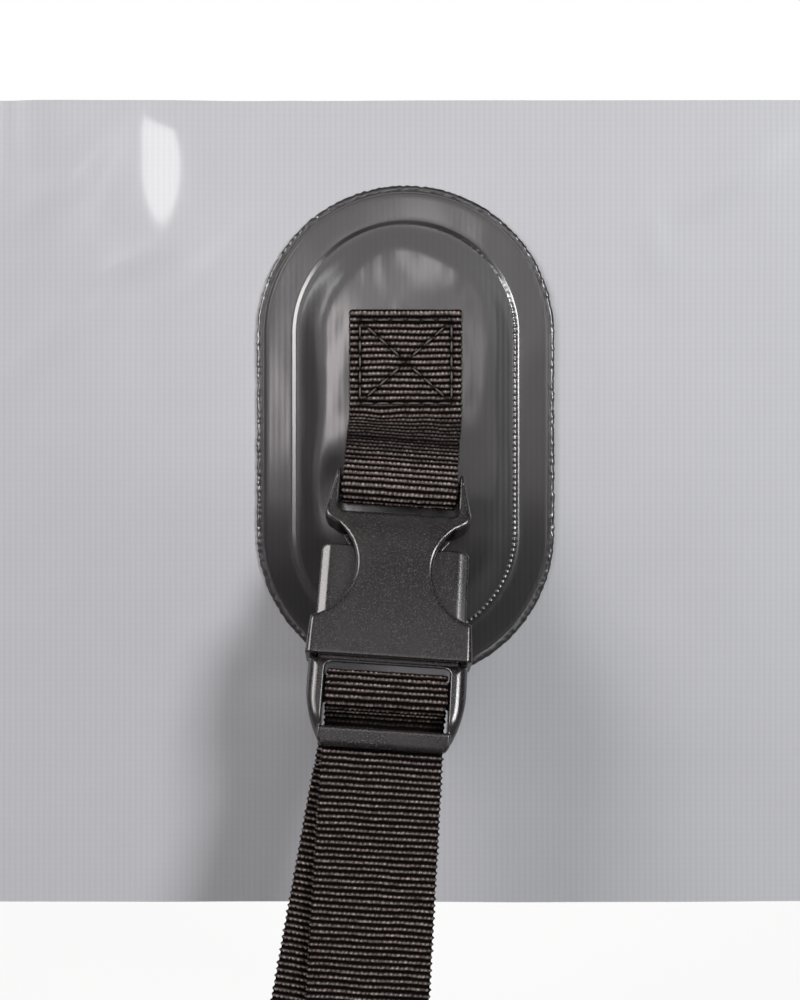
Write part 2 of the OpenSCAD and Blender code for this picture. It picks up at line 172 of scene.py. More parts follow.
def add(tree, kind, **sockets):
    """A shader node with its inputs set. A value may be a number, a colour or another node's output.

    An input goes by its name, or by i and its number, so i0 is the first one.
    """
    node = tree.nodes.new("ShaderNode" + kind)
    for key, value in sockets.items():
        if key in NODE_SETTINGS:
            setattr(node, key, value)
            continue
        index = int(key[1:]) if key[0] == "i" and key[1:].isdigit() else key.replace("_", " ")
        socket = node.inputs[index]
        if isinstance(value, bpy.types.NodeSocket):
            tree.links.new(value, socket)
        else:
            socket.default_value = value
    return node


def calc(tree, operation, *values, clamp=False):
    """The result of a Math node. MULTIPLY_ADD is the first value times the second, plus the third."""
    sockets = {f"i{k}": value for k, value in enumerate(values)}
    return add(tree, "Math", operation=operation, use_clamp=clamp, **sockets).outputs[0]


def between(tree, share, dark, light):
    """A colour that is dark where share is 0 and light where it is 1."""
    return add(tree, "Mix", data_type="RGBA", i0=share, i6=(*dark, 1), i7=(*light, 1)).outputs[2]


def emboss(tree, shader, height, depth, onto="Normal", strength=1.0):
    """Bump of a depth in millimetres, on the shader's normal or its coat's."""
    bump = add(tree, "Bump", Strength=strength, Distance=depth * MM, Height=height)
    tree.links.new(bump.outputs[0], shader.inputs[onto])


# %% [markdown]
# ## World and floor
#
# The background is white only for the camera's own rays. Glossy surfaces mirror a dark grey instead, and what
# lights the pieces is dimmer still, so the white doesn't wash them out. The floor does the same: it glows for
# the camera, and is a dark grey for everything else.

# %% World and floor
FLOOR_Z = -165
FLOOR_SIZE = 6000
FLOOR_GLOW = 0.78

world = bpy.data.worlds.new("studio")
world.use_nodes = True
bpy.context.scene.world = world
sky = world.node_tree
sky.nodes.clear()
rays = add(sky, "LightPath").outputs
dim = add(sky, "Background", Color=(0.93, 0.96, 1.0, 1), Strength=0.018)
mirrored_sky = add(sky, "Background", Color=(0.96, 0.97, 1.0, 1), Strength=0.05)
white = add(sky, "Background", Color=(1, 1, 1, 1), Strength=1.0)
unseen = add(sky, "MixShader", i0=rays["Is Glossy Ray"], i1=dim.outputs[0], i2=mirrored_sky.outputs[0])
whole_sky = add(sky, "MixShader", i0=rays["Is Camera Ray"], i1=unseen.outputs[0], i2=white.outputs[0])
output = sky.nodes.new("ShaderNodeOutputWorld")
sky.links.new(whole_sky.outputs[0], output.inputs["Surface"])

half_floor = FLOOR_SIZE / 2 * MM
corners = [(x * half_floor, y * half_floor, FLOOR_Z * MM) for x, y in ((-1, -1), (1, -1), (1, 1), (-1, 1))]
floor_data = bpy.data.meshes.new("floor")
floor_data.from_pydata(corners, [], [(0, 1, 2, 3)])
floor = bpy.data.objects.new("floor", floor_data)
bpy.context.scene.collection.objects.link(floor)
pale = bpy.data.materials.new("pale_floor")
pale.use_nodes = True
tree = pale.node_tree
tree.nodes.clear()
matt = add(tree, "BsdfDiffuse", Color=(0.12, 0.12, 0.12, 1))
lift = calc(tree, "MULTIPLY", add(tree, "LightPath").outputs["Is Camera Ray"], FLOOR_GLOW)
glow = add(tree, "Emission", Color=(1, 1, 1, 1), Strength=lift)
paint = add(tree, "AddShader", i0=matt.outputs[0], i1=glow.outputs[0])
output = tree.nodes.new("ShaderNodeOutputMaterial")
tree.links.new(paint.outputs[0], output.inputs["Surface"])
floor_data.materials.append(pale)
print("floor at", FLOOR_Z, "mm,", FLOOR_SIZE / 1000, "m wide")

# %% [markdown]
# ## Meshes from grids
#
# Every soft piece here is a sheet, so one helper turns arrays of points into a closed mesh: a front grid, a
# back grid and the strips that join them. Working on whole arrays keeps the cells short and fast.


# %% Grid helpers
def outward(points, quads):
    """The quads, turned round if they enclose the points inside out."""
    a, b, c, d = (points[quads[:, k]] for k in range(4))
    volume = np.einsum("ij,ij", a, np.cross(b, c)) + np.einsum("ij,ij", a, np.cross(c, d))
    return quads if volume > 0 else quads[:, ::-1]


def mesh_object(name, points, quads, material, uv=None, crest=None):
    """A smooth-shaded object from points in millimetres and quads. uv and crest hold a value per point."""
    data = bpy.data.meshes.new(name)
    points = np.asarray(points, float)
    quads = outward(points, np.asarray(quads)).astype(np.int32)
    data.vertices.add(len(points))
    data.vertices.foreach_set("co", (points * MM).astype(np.float32).ravel())
    data.loops.add(quads.size)
    data.loops.foreach_set("vertex_index", quads.ravel())
    data.polygons.add(len(quads))
    data.polygons.foreach_set("loop_start", np.arange(0, quads.size, 4, dtype=np.int32))
    data.polygons.foreach_set("use_smooth", np.ones(len(quads), bool))
    if uv is not None:
        layer = data.uv_layers.new(name="UVMap")
        layer.data.foreach_set("uv", np.asarray(uv, np.float32)[quads.ravel()].ravel())
    if crest is not None:
        values = data.attributes.new("crest", "FLOAT", "POINT").data
        values.foreach_set("value", np.asarray(crest, np.float32))
    data.update()
    data.materials.append(material)
    obj = bpy.data.objects.new(name, data)
    bpy.context.scene.collection.objects.link(obj)
    return obj


def grid_quads(rows, columns, start=0, flip=False, wrap=False):
    """The quads of a rows x columns grid of points. wrap joins the last column to the first."""
    i, j = np.meshgrid(np.arange(rows - 1), np.arange(columns if wrap else columns - 1), indexing="ij")
    k = (j + 1) % columns
    quads = np.stack([i * columns + j, i * columns + k, (i + 1) * columns + k, (i + 1) * columns + j], -1)
    quads = quads.reshape(-1, 4) + start
    return quads[:, ::-1] if flip else quads


def closed_sheet(front, back):
    """Points and quads of a sheet between two grids of the same shape."""
    rows, columns = front.shape[:2]
    count = rows * columns
    points = np.concatenate([front.reshape(-1, 3), back.reshape(-1, 3)])
    ring = [i * columns for i in range(rows)]
    ring += [(rows - 1) * columns + j for j in range(1, columns)]
    ring += [i * columns + columns - 1 for i in range(rows - 2, -1, -1)]
    ring += list(range(columns - 2, 0, -1))
    ring = np.array(ring)
    after = np.roll(ring, -1)
    sides = np.stack([ring, after, after + count, ring + count], -1)
    quads = [grid_quads(rows, columns), grid_quads(rows, columns, count, flip=True), sides[:, ::-1]]
    return points, np.concatenate(quads)


def smooth_step(t):
    t = np.clip(t, 0, 1)
    return t * t * (3 - 2 * t)


def soft_noise(x, z, scale_x, scale_z, seed):
    """Smooth noise from -1 to 1 on two arrays, stretched by its two scales."""
    flat = [
        noise.noise(Vector((a / scale_x, b / scale_z, seed)), noise_basis="PERLIN_ORIGINAL")
        for a, b in zip(np.ravel(x), np.ravel(z))
    ]
    return np.reshape(flat, np.shape(x))


# %% [markdown]
# ## Coated fabric
#
# The wall is woven polyester under a skin of PVC. The skin is glossy, but the weave below prints through it
# as fine vertical lines, twenty to the inch, and fainter ones across. Modelling each thread would take
# millions of faces for a relief of about a hundredth of a millimetre, so the threads are bump, and only the
# wrinkles are geometry. The patch is the same kind of cloth in black, with a glossier coat.

# %% Coated fabric
SCRIM = 1.27
THREAD_RELIEF = 0.012
SLUB_SHARE = 0.8
CLOTH_ROUGHNESS = 0.42
COAT_IOR = 1.8
TAU = 2 * math.pi


def wave(tree, coordinate, pitch):
    """A ripple from 0 to 1 along one coordinate in metres, with a pitch in millimetres."""
    swing = calc(tree, "SINE", calc(tree, "MULTIPLY", coordinate, TAU / (pitch * MM)))
    return calc(tree, "MULTIPLY_ADD", swing, 0.5, 0.5)


def new_material(name):
    """An empty material, its node tree and its shader."""
    material = bpy.data.materials.new(name)
    material.use_nodes = True
    tree = material.node_tree
    tree.nodes.clear()
    shader = tree.nodes.new("ShaderNodeBsdfPrincipled")
    output = tree.nodes.new("ShaderNodeOutputMaterial")
    tree.links.new(shader.outputs[0], output.inputs["Surface"])
    return material, tree, shader


def coated_fabric(name, colour, streak, weft_share, mottling, coat, ripple):
    """A PVC skin over a woven scrim.

    streak is how far the threads change the colour, and weft_share how strong those across are against those
    along. mottling is the slow unevenness. coat is the gloss's weight and roughness, and ripple its bump.
    """
    material, tree, shader = new_material(name)
    place = add(tree, "TexCoord").outputs["Object"]
    axes = add(tree, "SeparateXYZ", Vector=place).outputs
    warp, weft = wave(tree, axes["X"], SCRIM), wave(tree, axes["Z"], SCRIM)
    threads = calc(tree, "MULTIPLY_ADD", weft, weft_share, warp)
    uneven = add(tree, "TexNoise", Vector=place, Scale=90.0, Detail=3.0, Roughness=0.55)
    slub = add(tree, "Mapping", Vector=place, Scale=(900.0, 900.0, 60.0))
    slubs = add(tree, "TexNoise", Vector=slub.outputs[0], Scale=1.0, Detail=2.0)
    shade = calc(tree, "MULTIPLY_ADD", threads, streak, 1.0 - 0.65 * streak)
    patchy = calc(tree, "MULTIPLY_ADD", uneven.outputs["Fac"], mottling, -0.5 * mottling)
    tinted = add(tree, "VectorMath", operation="SCALE", i0=colour, Scale=calc(tree, "ADD", shade, patchy))
    tree.links.new(tinted.outputs[0], shader.inputs["Base Color"])
    height = calc(tree, "MULTIPLY_ADD", slubs.outputs["Fac"], SLUB_SHARE, threads)
    emboss(tree, shader, height, THREAD_RELIEF)
    emboss(tree, shader, height, ripple, onto="Coat Normal")
    shader.inputs["Roughness"].default_value = CLOTH_ROUGHNESS
    shader.inputs["Coat Weight"].default_value, shader.inputs["Coat Roughness"].default_value = coat
    shader.inputs["Coat IOR"].default_value = COAT_IOR
    return material


wall_skin = coated_fabric(
    "grey_wall_skin", (0.48, 0.485, 0.515), streak=0.05, weft_share=0.3, mottling=0.03,
    coat=(0.5, 0.18), ripple=0.0,
)
patch_skin = coated_fabric(
    "black_patch_skin", (0.011, 0.009, 0.011), streak=0.3, weft_share=0.05, mottling=0.3,
    coat=(1.0, 0.125), ripple=0.0012,
)
print("coated fabrics made, a thread every", SCRIM, "mm")

# %% [markdown]
# ## Where the gloss changes
#
# A coat isn't equally glossy all over. Where the wall has lain against something flat, its skin is pressed
# mirror-smooth, and there it throws a lamp straight back. Where the die has pressed the patch, it has left
# its own grain. Both are changes of the coat alone, so they need no geometry.

# %% Smooth spot and rough rims
GLINT = (-54, 58)
SPOT_AT = (GLINT[0] - 0.3, -3.0, GLINT[1] + 4)
SPOT_HALF = (6.2, 2.8, 20.5)
DIE_GRAIN = 0.12


def shader_of(material):
    """A material's node tree and its shader."""
    nodes = material.node_tree.nodes
    return material.node_tree, next(node for node in nodes if node.type == "BSDF_PRINCIPLED")


def smooth_spot(material, centre, half):
    """Makes the skin mirror-smooth inside an oval with the given half widths."""
    tree, shader = shader_of(material)
    place = add(tree, "TexCoord").outputs["Object"]
    offset = add(tree, "VectorMath", operation="SUBTRACT", i0=place, i1=Vector(centre) * MM)
    scaled = add(tree, "VectorMath", operation="DIVIDE", i0=offset.outputs[0], i1=Vector(half) * MM)
    distance = add(tree, "VectorMath", operation="LENGTH", i0=scaled.outputs[0])
    for name, pressed in (("Coat Weight", 1.0), ("Coat Roughness", 0.05)):
        slack = shader.inputs[name].default_value
        value = add(tree, "MapRange", i0=distance.outputs["Value"], i1=1.08, i2=0.9, i3=slack, i4=pressed)
        tree.links.new(value.outputs[0], shader.inputs[name])


def rough_rims(material, amount):
    """Roughens the coat where the mesh's crest attribute is high."""
    tree, shader = shader_of(material)
    rim = add(tree, "Attribute", attribute_name="crest").outputs["Fac"]
    rough = calc(tree, "MULTIPLY_ADD", rim, amount, shader.inputs["Coat Roughness"].default_value)
    tree.links.new(rough, shader.inputs["Coat Roughness"])


rough_rims(patch_skin, DIE_GRAIN)
smooth_spot(wall_skin, SPOT_AT, SPOT_HALF)
print("smooth spot at", SPOT_AT)

# %% [markdown]
# ## The wall
#
# The wall is air-stiff cloth: nearly flat, with long slack wrinkles towards its upper corners. A cloth
# simulation would put folds where it liked. Here each wrinkle is a soft ridge along a line, added to a slow
# swell, and both fade out under the patch, because the weld holds the wall flat there.

# %% The wall sheet
WALL_LOW, WALL_HIGH = (np.array(corner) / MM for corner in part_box("wall_panel"))
WALL_FRONT = WALL_LOW[1]
WALL_T = WALL_HIGH[1] - WALL_LOW[1]
PATCH_LOW, PATCH_HIGH = (np.array(corner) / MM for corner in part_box("anchor_patch"))
PATCH_R = (PATCH_HIGH[0] - PATCH_LOW[0]) / 2
PATCH_STRAIGHT = (PATCH_HIGH[2] - PATCH_LOW[2]) / 2 - PATCH_R
WALL_STEP = 1.0
WELD_FADE = 26
# Each wrinkle: a point on it, its direction in degrees from +X, its length, width and height in millimetres
WRINKLES = [
    ((-77, 24), 52, 36, 8, 0.45),
    ((-61, 39), 28, 24, 7, 0.35),
    ((-41, 39), 45, 26, 7, 0.4),
    ((-74, 57), 40, 34, 8, 0.45),
    ((-88, 75), 88, 40, 7, -0.5),
    ((-30, 66), 55, 30, 9, 0.35),
    ((40, 44), 60, 18, 8, 0.4),
    ((54, 45), 100, 20, 8, 0.45),
    ((70, 56), 32, 30, 8, 0.4),
    ((42, 16), 92, 46, 9, 0.35),
    ((68, -55), 60, 70, 20, 0.5),
]


def from_patch(x, z):
    """Distance from the patch's long axis, less its radius."""
    return np.hypot(x, np.maximum(np.abs(z) - PATCH_STRAIGHT, 0)) - PATCH_R


def wall_rise(x, z):
    """How far the wall stands out of its plane: a slow swell, the wrinkles, and a level smooth spot."""
    rise = 0.9 * soft_noise(x, z, 55, 75, 3.1) + 0.2 * soft_noise(x, z, 17, 30, 8.4)
    for (wx, wz), angle, length, width, height in WRINKLES:
        c, s = math.cos(math.radians(angle)), math.sin(math.radians(angle))
        along = (x - wx) * c + (z - wz) * s
        aside = (z - wz) * c - (x - wx) * s
        bow = aside - 0.004 * along**2 * np.sign(height)
        rise += height * np.exp(-((along / length * 2) ** 2) - (bow / width * 2) ** 2)
    spot = np.exp(-((((x - GLINT[0]) / 13) ** 2 + ((z - GLINT[1]) / 19) ** 2) ** 2))
    rise = rise * (1 - spot) + 0.3 * spot
    return rise * smooth_step(from_patch(x, z) / WELD_FADE)


def steps(low, high, step):
    """Even steps from low to high, with a narrow one at each end so that the cut edge shades crisply."""
    inner = np.linspace(low, high, round((high - low) / step) + 1)[1:-1]
    return np.concatenate([[low, low + 0.05], inner, [high - 0.05, high]])


def stretched_wall():
    """The wall as one closed sheet."""
    xs = steps(WALL_LOW[0], WALL_HIGH[0], WALL_STEP)
    zs = steps(WALL_LOW[2], WALL_HIGH[2], WALL_STEP)
    z, x = np.meshgrid(zs, xs, indexing="ij")
    rise = wall_rise(x, z)
    front = np.stack([x, WALL_FRONT - rise, z], -1)
    back = front + [0, WALL_T, 0]
    points, quads = closed_sheet(front, back)
    return mesh_object("wall_sheet", points, quads, wall_skin)


wall = stretched_wall()
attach(wall, "wall")
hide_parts("wall_panel")
print("wall sheet:", len(wall.data.polygons), "faces")

# %% [markdown]
# ## The patch
#
# A tear-seal die welds the patch: it presses the border flat, squeezes out a bead of melt along the cut edge,
# and leaves a sharp rim where the border meets the cushioned middle. The grid runs round the oval, with rows
# close together only at the rim and the edge, where the relief is.

# %% The patch's relief
RIM_R = 24.7
BORDER_H = 0.9
MIDDLE_H = 2.1
RIM_SHARE, SHOULDER_SHARE = 0.4, 0.3
PILLOW, PILLOW_HALF = 0.3, 44
DENT, DENT_AT = 0.3, (-15, -13)
SERRATION = 1.25


def turn_length(x, z):
    """A length along the oval's perimeter, good enough to space the die's teeth."""
    beyond = np.abs(z) > PATCH_STRAIGHT
    angle = np.arctan2(np.maximum(np.abs(z) - PATCH_STRAIGHT, 0), np.abs(x))
    return np.where(beyond, PATCH_STRAIGHT + angle * RIM_R, np.abs(z))


def middle_relief(r, x, z):
    """The cushioned middle: a soft shoulder, a low pillow with slow waves, and one dent."""
    wander = 1.2 + 1.6 * soft_noise(x, z, 11, 16, 9.1)
    shoulder = smooth_step((RIM_R - 0.6 - r) / (4.5 + wander))
    inside = smooth_step((RIM_R - 0.6 - r) / (5.5 + wander))
    waves = 0.07 * soft_noise(x, z, 8, 15, 1.7) + 0.03 * soft_noise(x, z, 3.2, 7, 6.2)
    pillow = PILLOW * (1 - (z / PILLOW_HALF) ** 2)
    dent = DENT * np.exp(-(((x - DENT_AT[0]) / 6) ** 2) - ((z - DENT_AT[1]) / 8) ** 2)
    return (MIDDLE_H - BORDER_H) * SHOULDER_SHARE * shoulder + inside * (waves + pillow - dent)


def edge_relief(r, tooth, grit):
    """The bead of melt along the cut edge, and the fine groove inside it."""
    bead = np.exp(-(((r - PATCH_R + 0.5) / 0.45) ** 2))
    groove = np.exp(-(((r - PATCH_R + 1.6) / 0.3) ** 2))
    return bead * (0.02 + 0.05 * tooth + 0.16 * grit) - 0.08 * groove


def patch_relief(r, turn, x, z):
    """Height of the patch over the wall, its die's teeth and its grit."""
    right = smooth_step((np.cos(turn) + 0.2) / 0.9)
    lower_right = smooth_step(np.cos(turn + math.radians(50)) * 2 - 0.4)
    tooth = 0.5 + 0.5 * np.cos(TAU * turn_length(x, z) / SERRATION)
    grit = soft_noise(x, z, 0.7, 0.7, 5.5)
    rim = np.clip((RIM_R + 0.45 - r) / (0.9 + 0.3 * right), 0, 1)
    lip = np.exp(-(((r - RIM_R + 0.45) / 0.34) ** 2))
    height = BORDER_H + (MIDDLE_H - BORDER_H) * RIM_SHARE * rim
    height += lip * (lower_right * 0.26 * tooth + 0.08 * grit * right)
    height += middle_relief(r, x, z) + edge_relief(r, tooth, grit)
    height += 0.04 * soft_noise(x, z, 6, 14, 2.9) * (1 - rim)
    return height, tooth, grit


# %% The patch
PERIMETER_STEP = 0.36
COARSE, FINE = 0.9, 0.16


def round_the_oval():
    """The direction and the place on the spine of each step round the patch, up its right side first."""
    quarter = np.linspace(0, math.pi / 2, round(math.pi / 2 * PATCH_R / PERIMETER_STEP))[:-1]
    count = round(2 * PATCH_STRAIGHT / PERIMETER_STEP)
    side = np.linspace(-PATCH_STRAIGHT, PATCH_STRAIGHT, count, endpoint=False)
    turns = [0 * side, quarter, quarter + math.pi / 2, 0 * side + math.pi]
    turns += [quarter + math.pi, quarter + 1.5 * math.pi]
    top, low = 0 * quarter + PATCH_STRAIGHT, 0 * quarter - PATCH_STRAIGHT
    return np.concatenate(turns), np.concatenate([side, top, top, -side, low, low])


def patch_faces():
    """The front of the patch, its flat underside, and how hard the die pressed each point."""
    turns, spine = round_the_oval()
    near_rim, near_edge = np.arange(23.0, RIM_R + 1.8, FINE), np.arange(31.0, PATCH_R + 0.01, FINE)
    rows = np.concatenate([np.arange(0.0, 22.8, COARSE), near_rim, [27.0, 28, 29, 30, 30.6], near_edge])
    r, turn = np.meshgrid(rows, turns, indexing="ij")
    x = r * np.cos(turn)
    z = r * np.sin(turn) + spine
    height, tooth, grit = patch_relief(r, turn, x, z)
    ragged = smooth_step((r - PATCH_R + 1.2) / 1.2) * (0.08 * tooth + 0.2 * grit)
    x += ragged * np.cos(turn)
    z += ragged * np.sin(turn)
    height *= 1 - 0.45 * np.clip((r - PATCH_R + 0.6) / 0.6, 0, 1)
    front = np.stack([x, WALL_FRONT - height, z], -1)
    foot = front[-1].copy()
    foot[:, 1] = WALL_FRONT
    middle = np.stack([0 * spine, 0 * spine + WALL_FRONT, spine], -1)
    under = np.stack([foot, (foot + middle) / 2, middle])
    pressed = np.exp(-(((r - RIM_R) / 1.1) ** 4)) + np.exp(-(((r - PATCH_R) / 1.9) ** 4))
    return front, under, np.concatenate([pressed, np.ones(under.shape[:2])])


def welded_patch():
    """The patch as one closed mesh. Points that meet on its spine are merged."""
    front, under, pressed = patch_faces()
    points = np.concatenate([front, under])
    quads = grid_quads(*points.shape[:2], wrap=True)
    obj = mesh_object("welded_patch", points.reshape(-1, 3), quads, patch_skin, crest=pressed.ravel())
    seam = bmesh.new()
    seam.from_mesh(obj.data)
    bmesh.ops.remove_doubles(seam, verts=seam.verts, dist=1e-6)
    seam.to_mesh(obj.data)
    seam.free()
    return obj


patch = welded_patch()
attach(patch, "wall")
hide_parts("anchor_patch", "backing_pad")
print("patch:", len(patch.data.polygons), "faces")

# %% [markdown]
# ## Webbing
#
# Narrow webbing is woven with the lengthwise yarns packed so close that they hide the crosswise ones. What
# shows is a row of small knuckles for each crosswise yarn, with a dark gap before the next row. The knuckles
# of one row sit between those of the row before.
#
# So the weave is drawn as relief: a rib every 1.3 mm along the strap, and on it a bead every 0.9 mm. The same
# height is kept on the mesh as an attribute, and by it the material paints highlight onto the knuckles and
# shade into the gaps. Stretched webbing, as in the strap, has thinner ribs than slack webbing.

# %% Paths and weave
RIB = 1.32
BEAD = 0.94
WEB_W = 25.0
WEB_T = 1.6
RELIEF = 0.42
ROW_STEP = RIB / 6
COLUMN_STEP = BEAD / 4
SELVEDGE = 0.8


def arc(centre, radius, start, end, count=16):
    """Points on an arc of a YZ plane, with its angles in degrees."""
    turn = np.radians(np.linspace(start, end, count))
    return [(centre[0] + radius * math.cos(a), centre[1] + radius * math.sin(a)) for a in turn]


def curve(p, u, q, v, count=12):
    """A smooth curve from p, leaving along u, to q, arriving along v."""
    p, u, q, v = (np.array(w, float) for w in (p, u, q, v))
    t = np.linspace(0, 1, count)[1:-1, None]
    s = 1 - t
    return list(p * s * s * (1 + 2 * t) + q * t * t * (3 - 2 * t) + u * s * s * t - v * t * t * s)


def resample(path, step):
    """Evenly spaced points on a path, and each one's distance from its start."""
    path = np.asarray(path, float)
    lengths = np.concatenate([[0], np.cumsum(np.linalg.norm(np.diff(path, axis=0), axis=1))])
    s = np.linspace(0, lengths[-1], round(lengths[-1] / step) + 1)
    return np.stack([np.interp(s, lengths, path[:, k]) for k in (0, 1)], -1), s


def weave(x, s, seed, unrest=0.0, fullness=0.2, rib=RIB):
    """Height of the weave, from 0 in the gaps to 1 on the crests. unrest disturbs the rows."""
    drift = (0.15 + unrest) * soft_noise(x, s, 6, 8, seed) + 0.07 * soft_noise(x, s, 1.1, 1.4, seed + 4)
    row = (s + drift) / rib
    shift = 0.5 * (np.round(row) % 2) + 0.3 * soft_noise(x, s, 2, 1.3, seed + 9)
    bead = 0.5 + 0.5 * np.cos(TAU * (x / BEAD + shift))
    knuckle = 0.5 + 0.5 * np.cos(TAU * (row + 0.05 * bead))
    uneven = 0.85 + 0.45 * soft_noise(x, s, 0.6, 0.8, seed + 15)
    return np.clip(smooth_step(knuckle * 1.3 - 0.5 + fullness) * (0.5 + 0.5 * bead) * uneven, 0, 1)


# %% A length of webbing
def webbing(name, centre, s, place, seed, sink_and_shade, unrest=0.0, crowd=0.0, fullness=0.2, rib=RIB):
    """A length of webbing whose middle follows centre, points of a YZ plane at distances s along it.

    place puts points in the scene. The sink function says how far the outer face is drawn in, and there the
    colour is darkened too, as painted shade. unrest shifts the rows about, and crowd is how many millimetres
    of extra webbing are pushed up between the start and each point.
    """
    heading = np.gradient(centre, axis=0)
    heading /= np.linalg.norm(heading, axis=1, keepdims=True)
    outer = np.stack([heading[:, 1], -heading[:, 0]], -1)
    half = WEB_W / 2
    columns = np.linspace(-half, half, round(WEB_W / COLUMN_STEP) + 1)
    x, along = np.meshgrid(columns, s)
    unrest = np.broadcast_to(np.reshape(unrest, (-1, 1)), x.shape) if np.ndim(unrest) else unrest
    near_side = np.clip((np.abs(x) - half + SELVEDGE) / SELVEDGE, 0, 1)
    selvedge = np.sqrt(np.clip(1 - near_side**2, 0.04, 1))
    faces, crests = [], []
    for side in (1, -1):
        crest = weave(x, along + np.reshape(crowd, (-1, 1)), seed + side, unrest, fullness, rib)
        thick = (WEB_T / 2 - RELIEF + RELIEF * crest) * selvedge
        if side == 1:
            drawn_and_shaded = sink_and_shade(x, centre)
            thick -= drawn_and_shaded
            # Where the outer face is drawn in, its colour is darkened too: painted shade.
            crest *= 1 - np.clip(drawn_and_shaded * 1.6, 0, 0.7)
        edge = x + np.sign(x) * np.clip(np.abs(x) - half + 1, 0, 1) * (0.5 * crest - 0.36)
        yz = centre[:, None, :] + side * thick[..., None] * outer[:, None, :]
        faces.append(place(np.concatenate([edge[..., None], yz], -1), along))
        crests.append(crest * np.clip(selvedge, 0.55, 1))
    points, quads = closed_sheet(*faces)
    uv = np.stack([x.ravel(), along.ravel()], -1) * 0.01
    crest = np.concatenate([c.ravel() for c in crests])
    return mesh_object(name, points, quads, web_cloth, uv=np.concatenate([uv, uv + 0.5]), crest=crest)


def turn_y(points, angle):
    """Turns points about the Y axis. The angle may differ from point to point."""
    x, y, z = np.moveaxis(points, -1, 0)
    return np.stack([x * np.cos(angle) + z * np.sin(angle), y, z * np.cos(angle) - x * np.sin(angle)], -1)


# %% [markdown]
# ## The webbing's colour
#
# Black webbing isn't black all over: single fibres catch the light on the knuckles, and the gaps swallow it.
# Both are painted into the colour, as a painted highlight on the knuckles and painted shade in the gaps,
# worked out from the height of the weave times three noises: the fibres, drawn out along the yarns, flecks of
# painted glint, and slow blotches of wear.

# %% Webbing material
# The light knuckle colour is a painted highlight, and the near-black gap colour is partly painted shade.
SHADED_GAP_COLOUR, LIT_KNUCKLE_COLOUR = (0.002, 0.0013, 0.0012), (0.5, 0.4, 0.37)

web_cloth, tree, shader = new_material("black_webbing")
height = add(tree, "Attribute", attribute_name="crest").outputs["Fac"]
place = add(tree, "UVMap").outputs[0]
yarn = add(tree, "Mapping", Vector=place, Scale=(700.0, 190.0, 1.0))
fibres = add(tree, "TexNoise", Vector=yarn.outputs[0], Scale=1.0, Detail=3.0, Roughness=0.7).outputs["Fac"]
# Bright flecks of painted glint, where single fibres catch the light.
glint_fleck = add(tree, "TexNoise", Vector=place, Scale=330.0, Detail=2.0, Roughness=0.6).outputs["Fac"]
blotch = add(tree, "TexNoise", Vector=place, Scale=45.0, Detail=2.0).outputs["Fac"]
dark = add(tree, "MapRange", i0=fibres, i1=0.33, i2=0.68, i3=0.2, i4=1.25).outputs[0]
light = add(tree, "MapRange", i0=glint_fleck, i1=0.35, i2=0.68, i3=0.45, i4=1.6).outputs[0]
worn = calc(tree, "MULTIPLY_ADD", blotch, 0.8, 0.6)
shade = calc(tree, "MULTIPLY", calc(tree, "MULTIPLY", dark, light), worn)
# The weave's height paints highlight onto the knuckles and shade into the gaps.
rise = calc(tree, "MULTIPLY_ADD", calc(tree, "POWER", height, 1.9), 1.15, 0.006)
share = calc(tree, "MULTIPLY", rise, shade, clamp=True)
tree.links.new(between(tree, share, SHADED_GAP_COLOUR, LIT_KNUCKLE_COLOUR), shader.inputs["Base Color"])
emboss(tree, shader, fibres, 0.05)
tree.links.new(calc(tree, "MULTIPLY", height, 0.45), shader.inputs["Specular IOR Level"])
shader.inputs["Roughness"].default_value = 0.5
print("webbing material made")

# %% [markdown]
# ## The sewn loop
#
# One length of webbing makes the loop. It starts behind the tab, goes up and over the fold, down the front,
# round the buckle's bar and up behind again, where its two ends butt. The tab is sewn square to the patch,
# but the buckle hangs askew, so the webbing twists a little below the seam and its rows are pushed out of
# line. A path in the side view gives the loop its length, and a second step twists it.

# %% The loop's path
PATCH_FRONT = WALL_FRONT - MIDDLE_H
LAYER_GAP = 0.1
BACK_Y = PATCH_FRONT - WEB_T / 2
FRONT_Y = BACK_Y - WEB_T - LAYER_GAP
FOLD_R = (WEB_T + LAYER_GAP) / 2
FOLD_Z = 25.65
BUTT_Z = 15.9
CREASE_Z = 3.0
BAR_R = 2.2
LOOP_R = BAR_R + LAYER_GAP + WEB_T / 2
BOX_HALF = 10.0
BOX_LOW, BOX_HIGH = 6.3, 24.5


def touch(p, c, r, side):
    """Where a line from p touches the circle round c, on the side given as 1 or -1."""
    d = np.subtract(c, p)
    length = np.linalg.norm(d)
    a = math.atan2(d[1], d[0]) + side * math.asin(r / length)
    return np.add(p, math.sqrt(length**2 - r**2) * np.array([math.cos(a), math.sin(a)]))


def bearing(c, p):
    """The direction from c to p in degrees."""
    return math.degrees(math.atan2(p[1] - c[1], p[0] - c[0]))


def loop_path():
    """The loop in the side view, from behind the tab and over the fold to the bar and back up."""
    c = (bar[1], bar[2])
    front = touch((FRONT_Y, CREASE_Z), c, LOOP_R, -1)
    back = touch((BACK_Y, CREASE_Z), c, LOOP_R, 1)
    leave, arrive = bearing(c, front), bearing(c, back)
    if arrive < leave:
        arrive += 360
    path = [(BACK_Y, BUTT_Z + 0.3), *arc(((BACK_Y + FRONT_Y) / 2, FOLD_Z), FOLD_R, 0, 180, 9)]
    path += [(FRONT_Y, CREASE_Z), *arc(c, LOOP_R, leave, arrive, 25)]
    return path + [(BACK_Y, CREASE_Z), (BACK_Y, BUTT_Z - 0.2)]


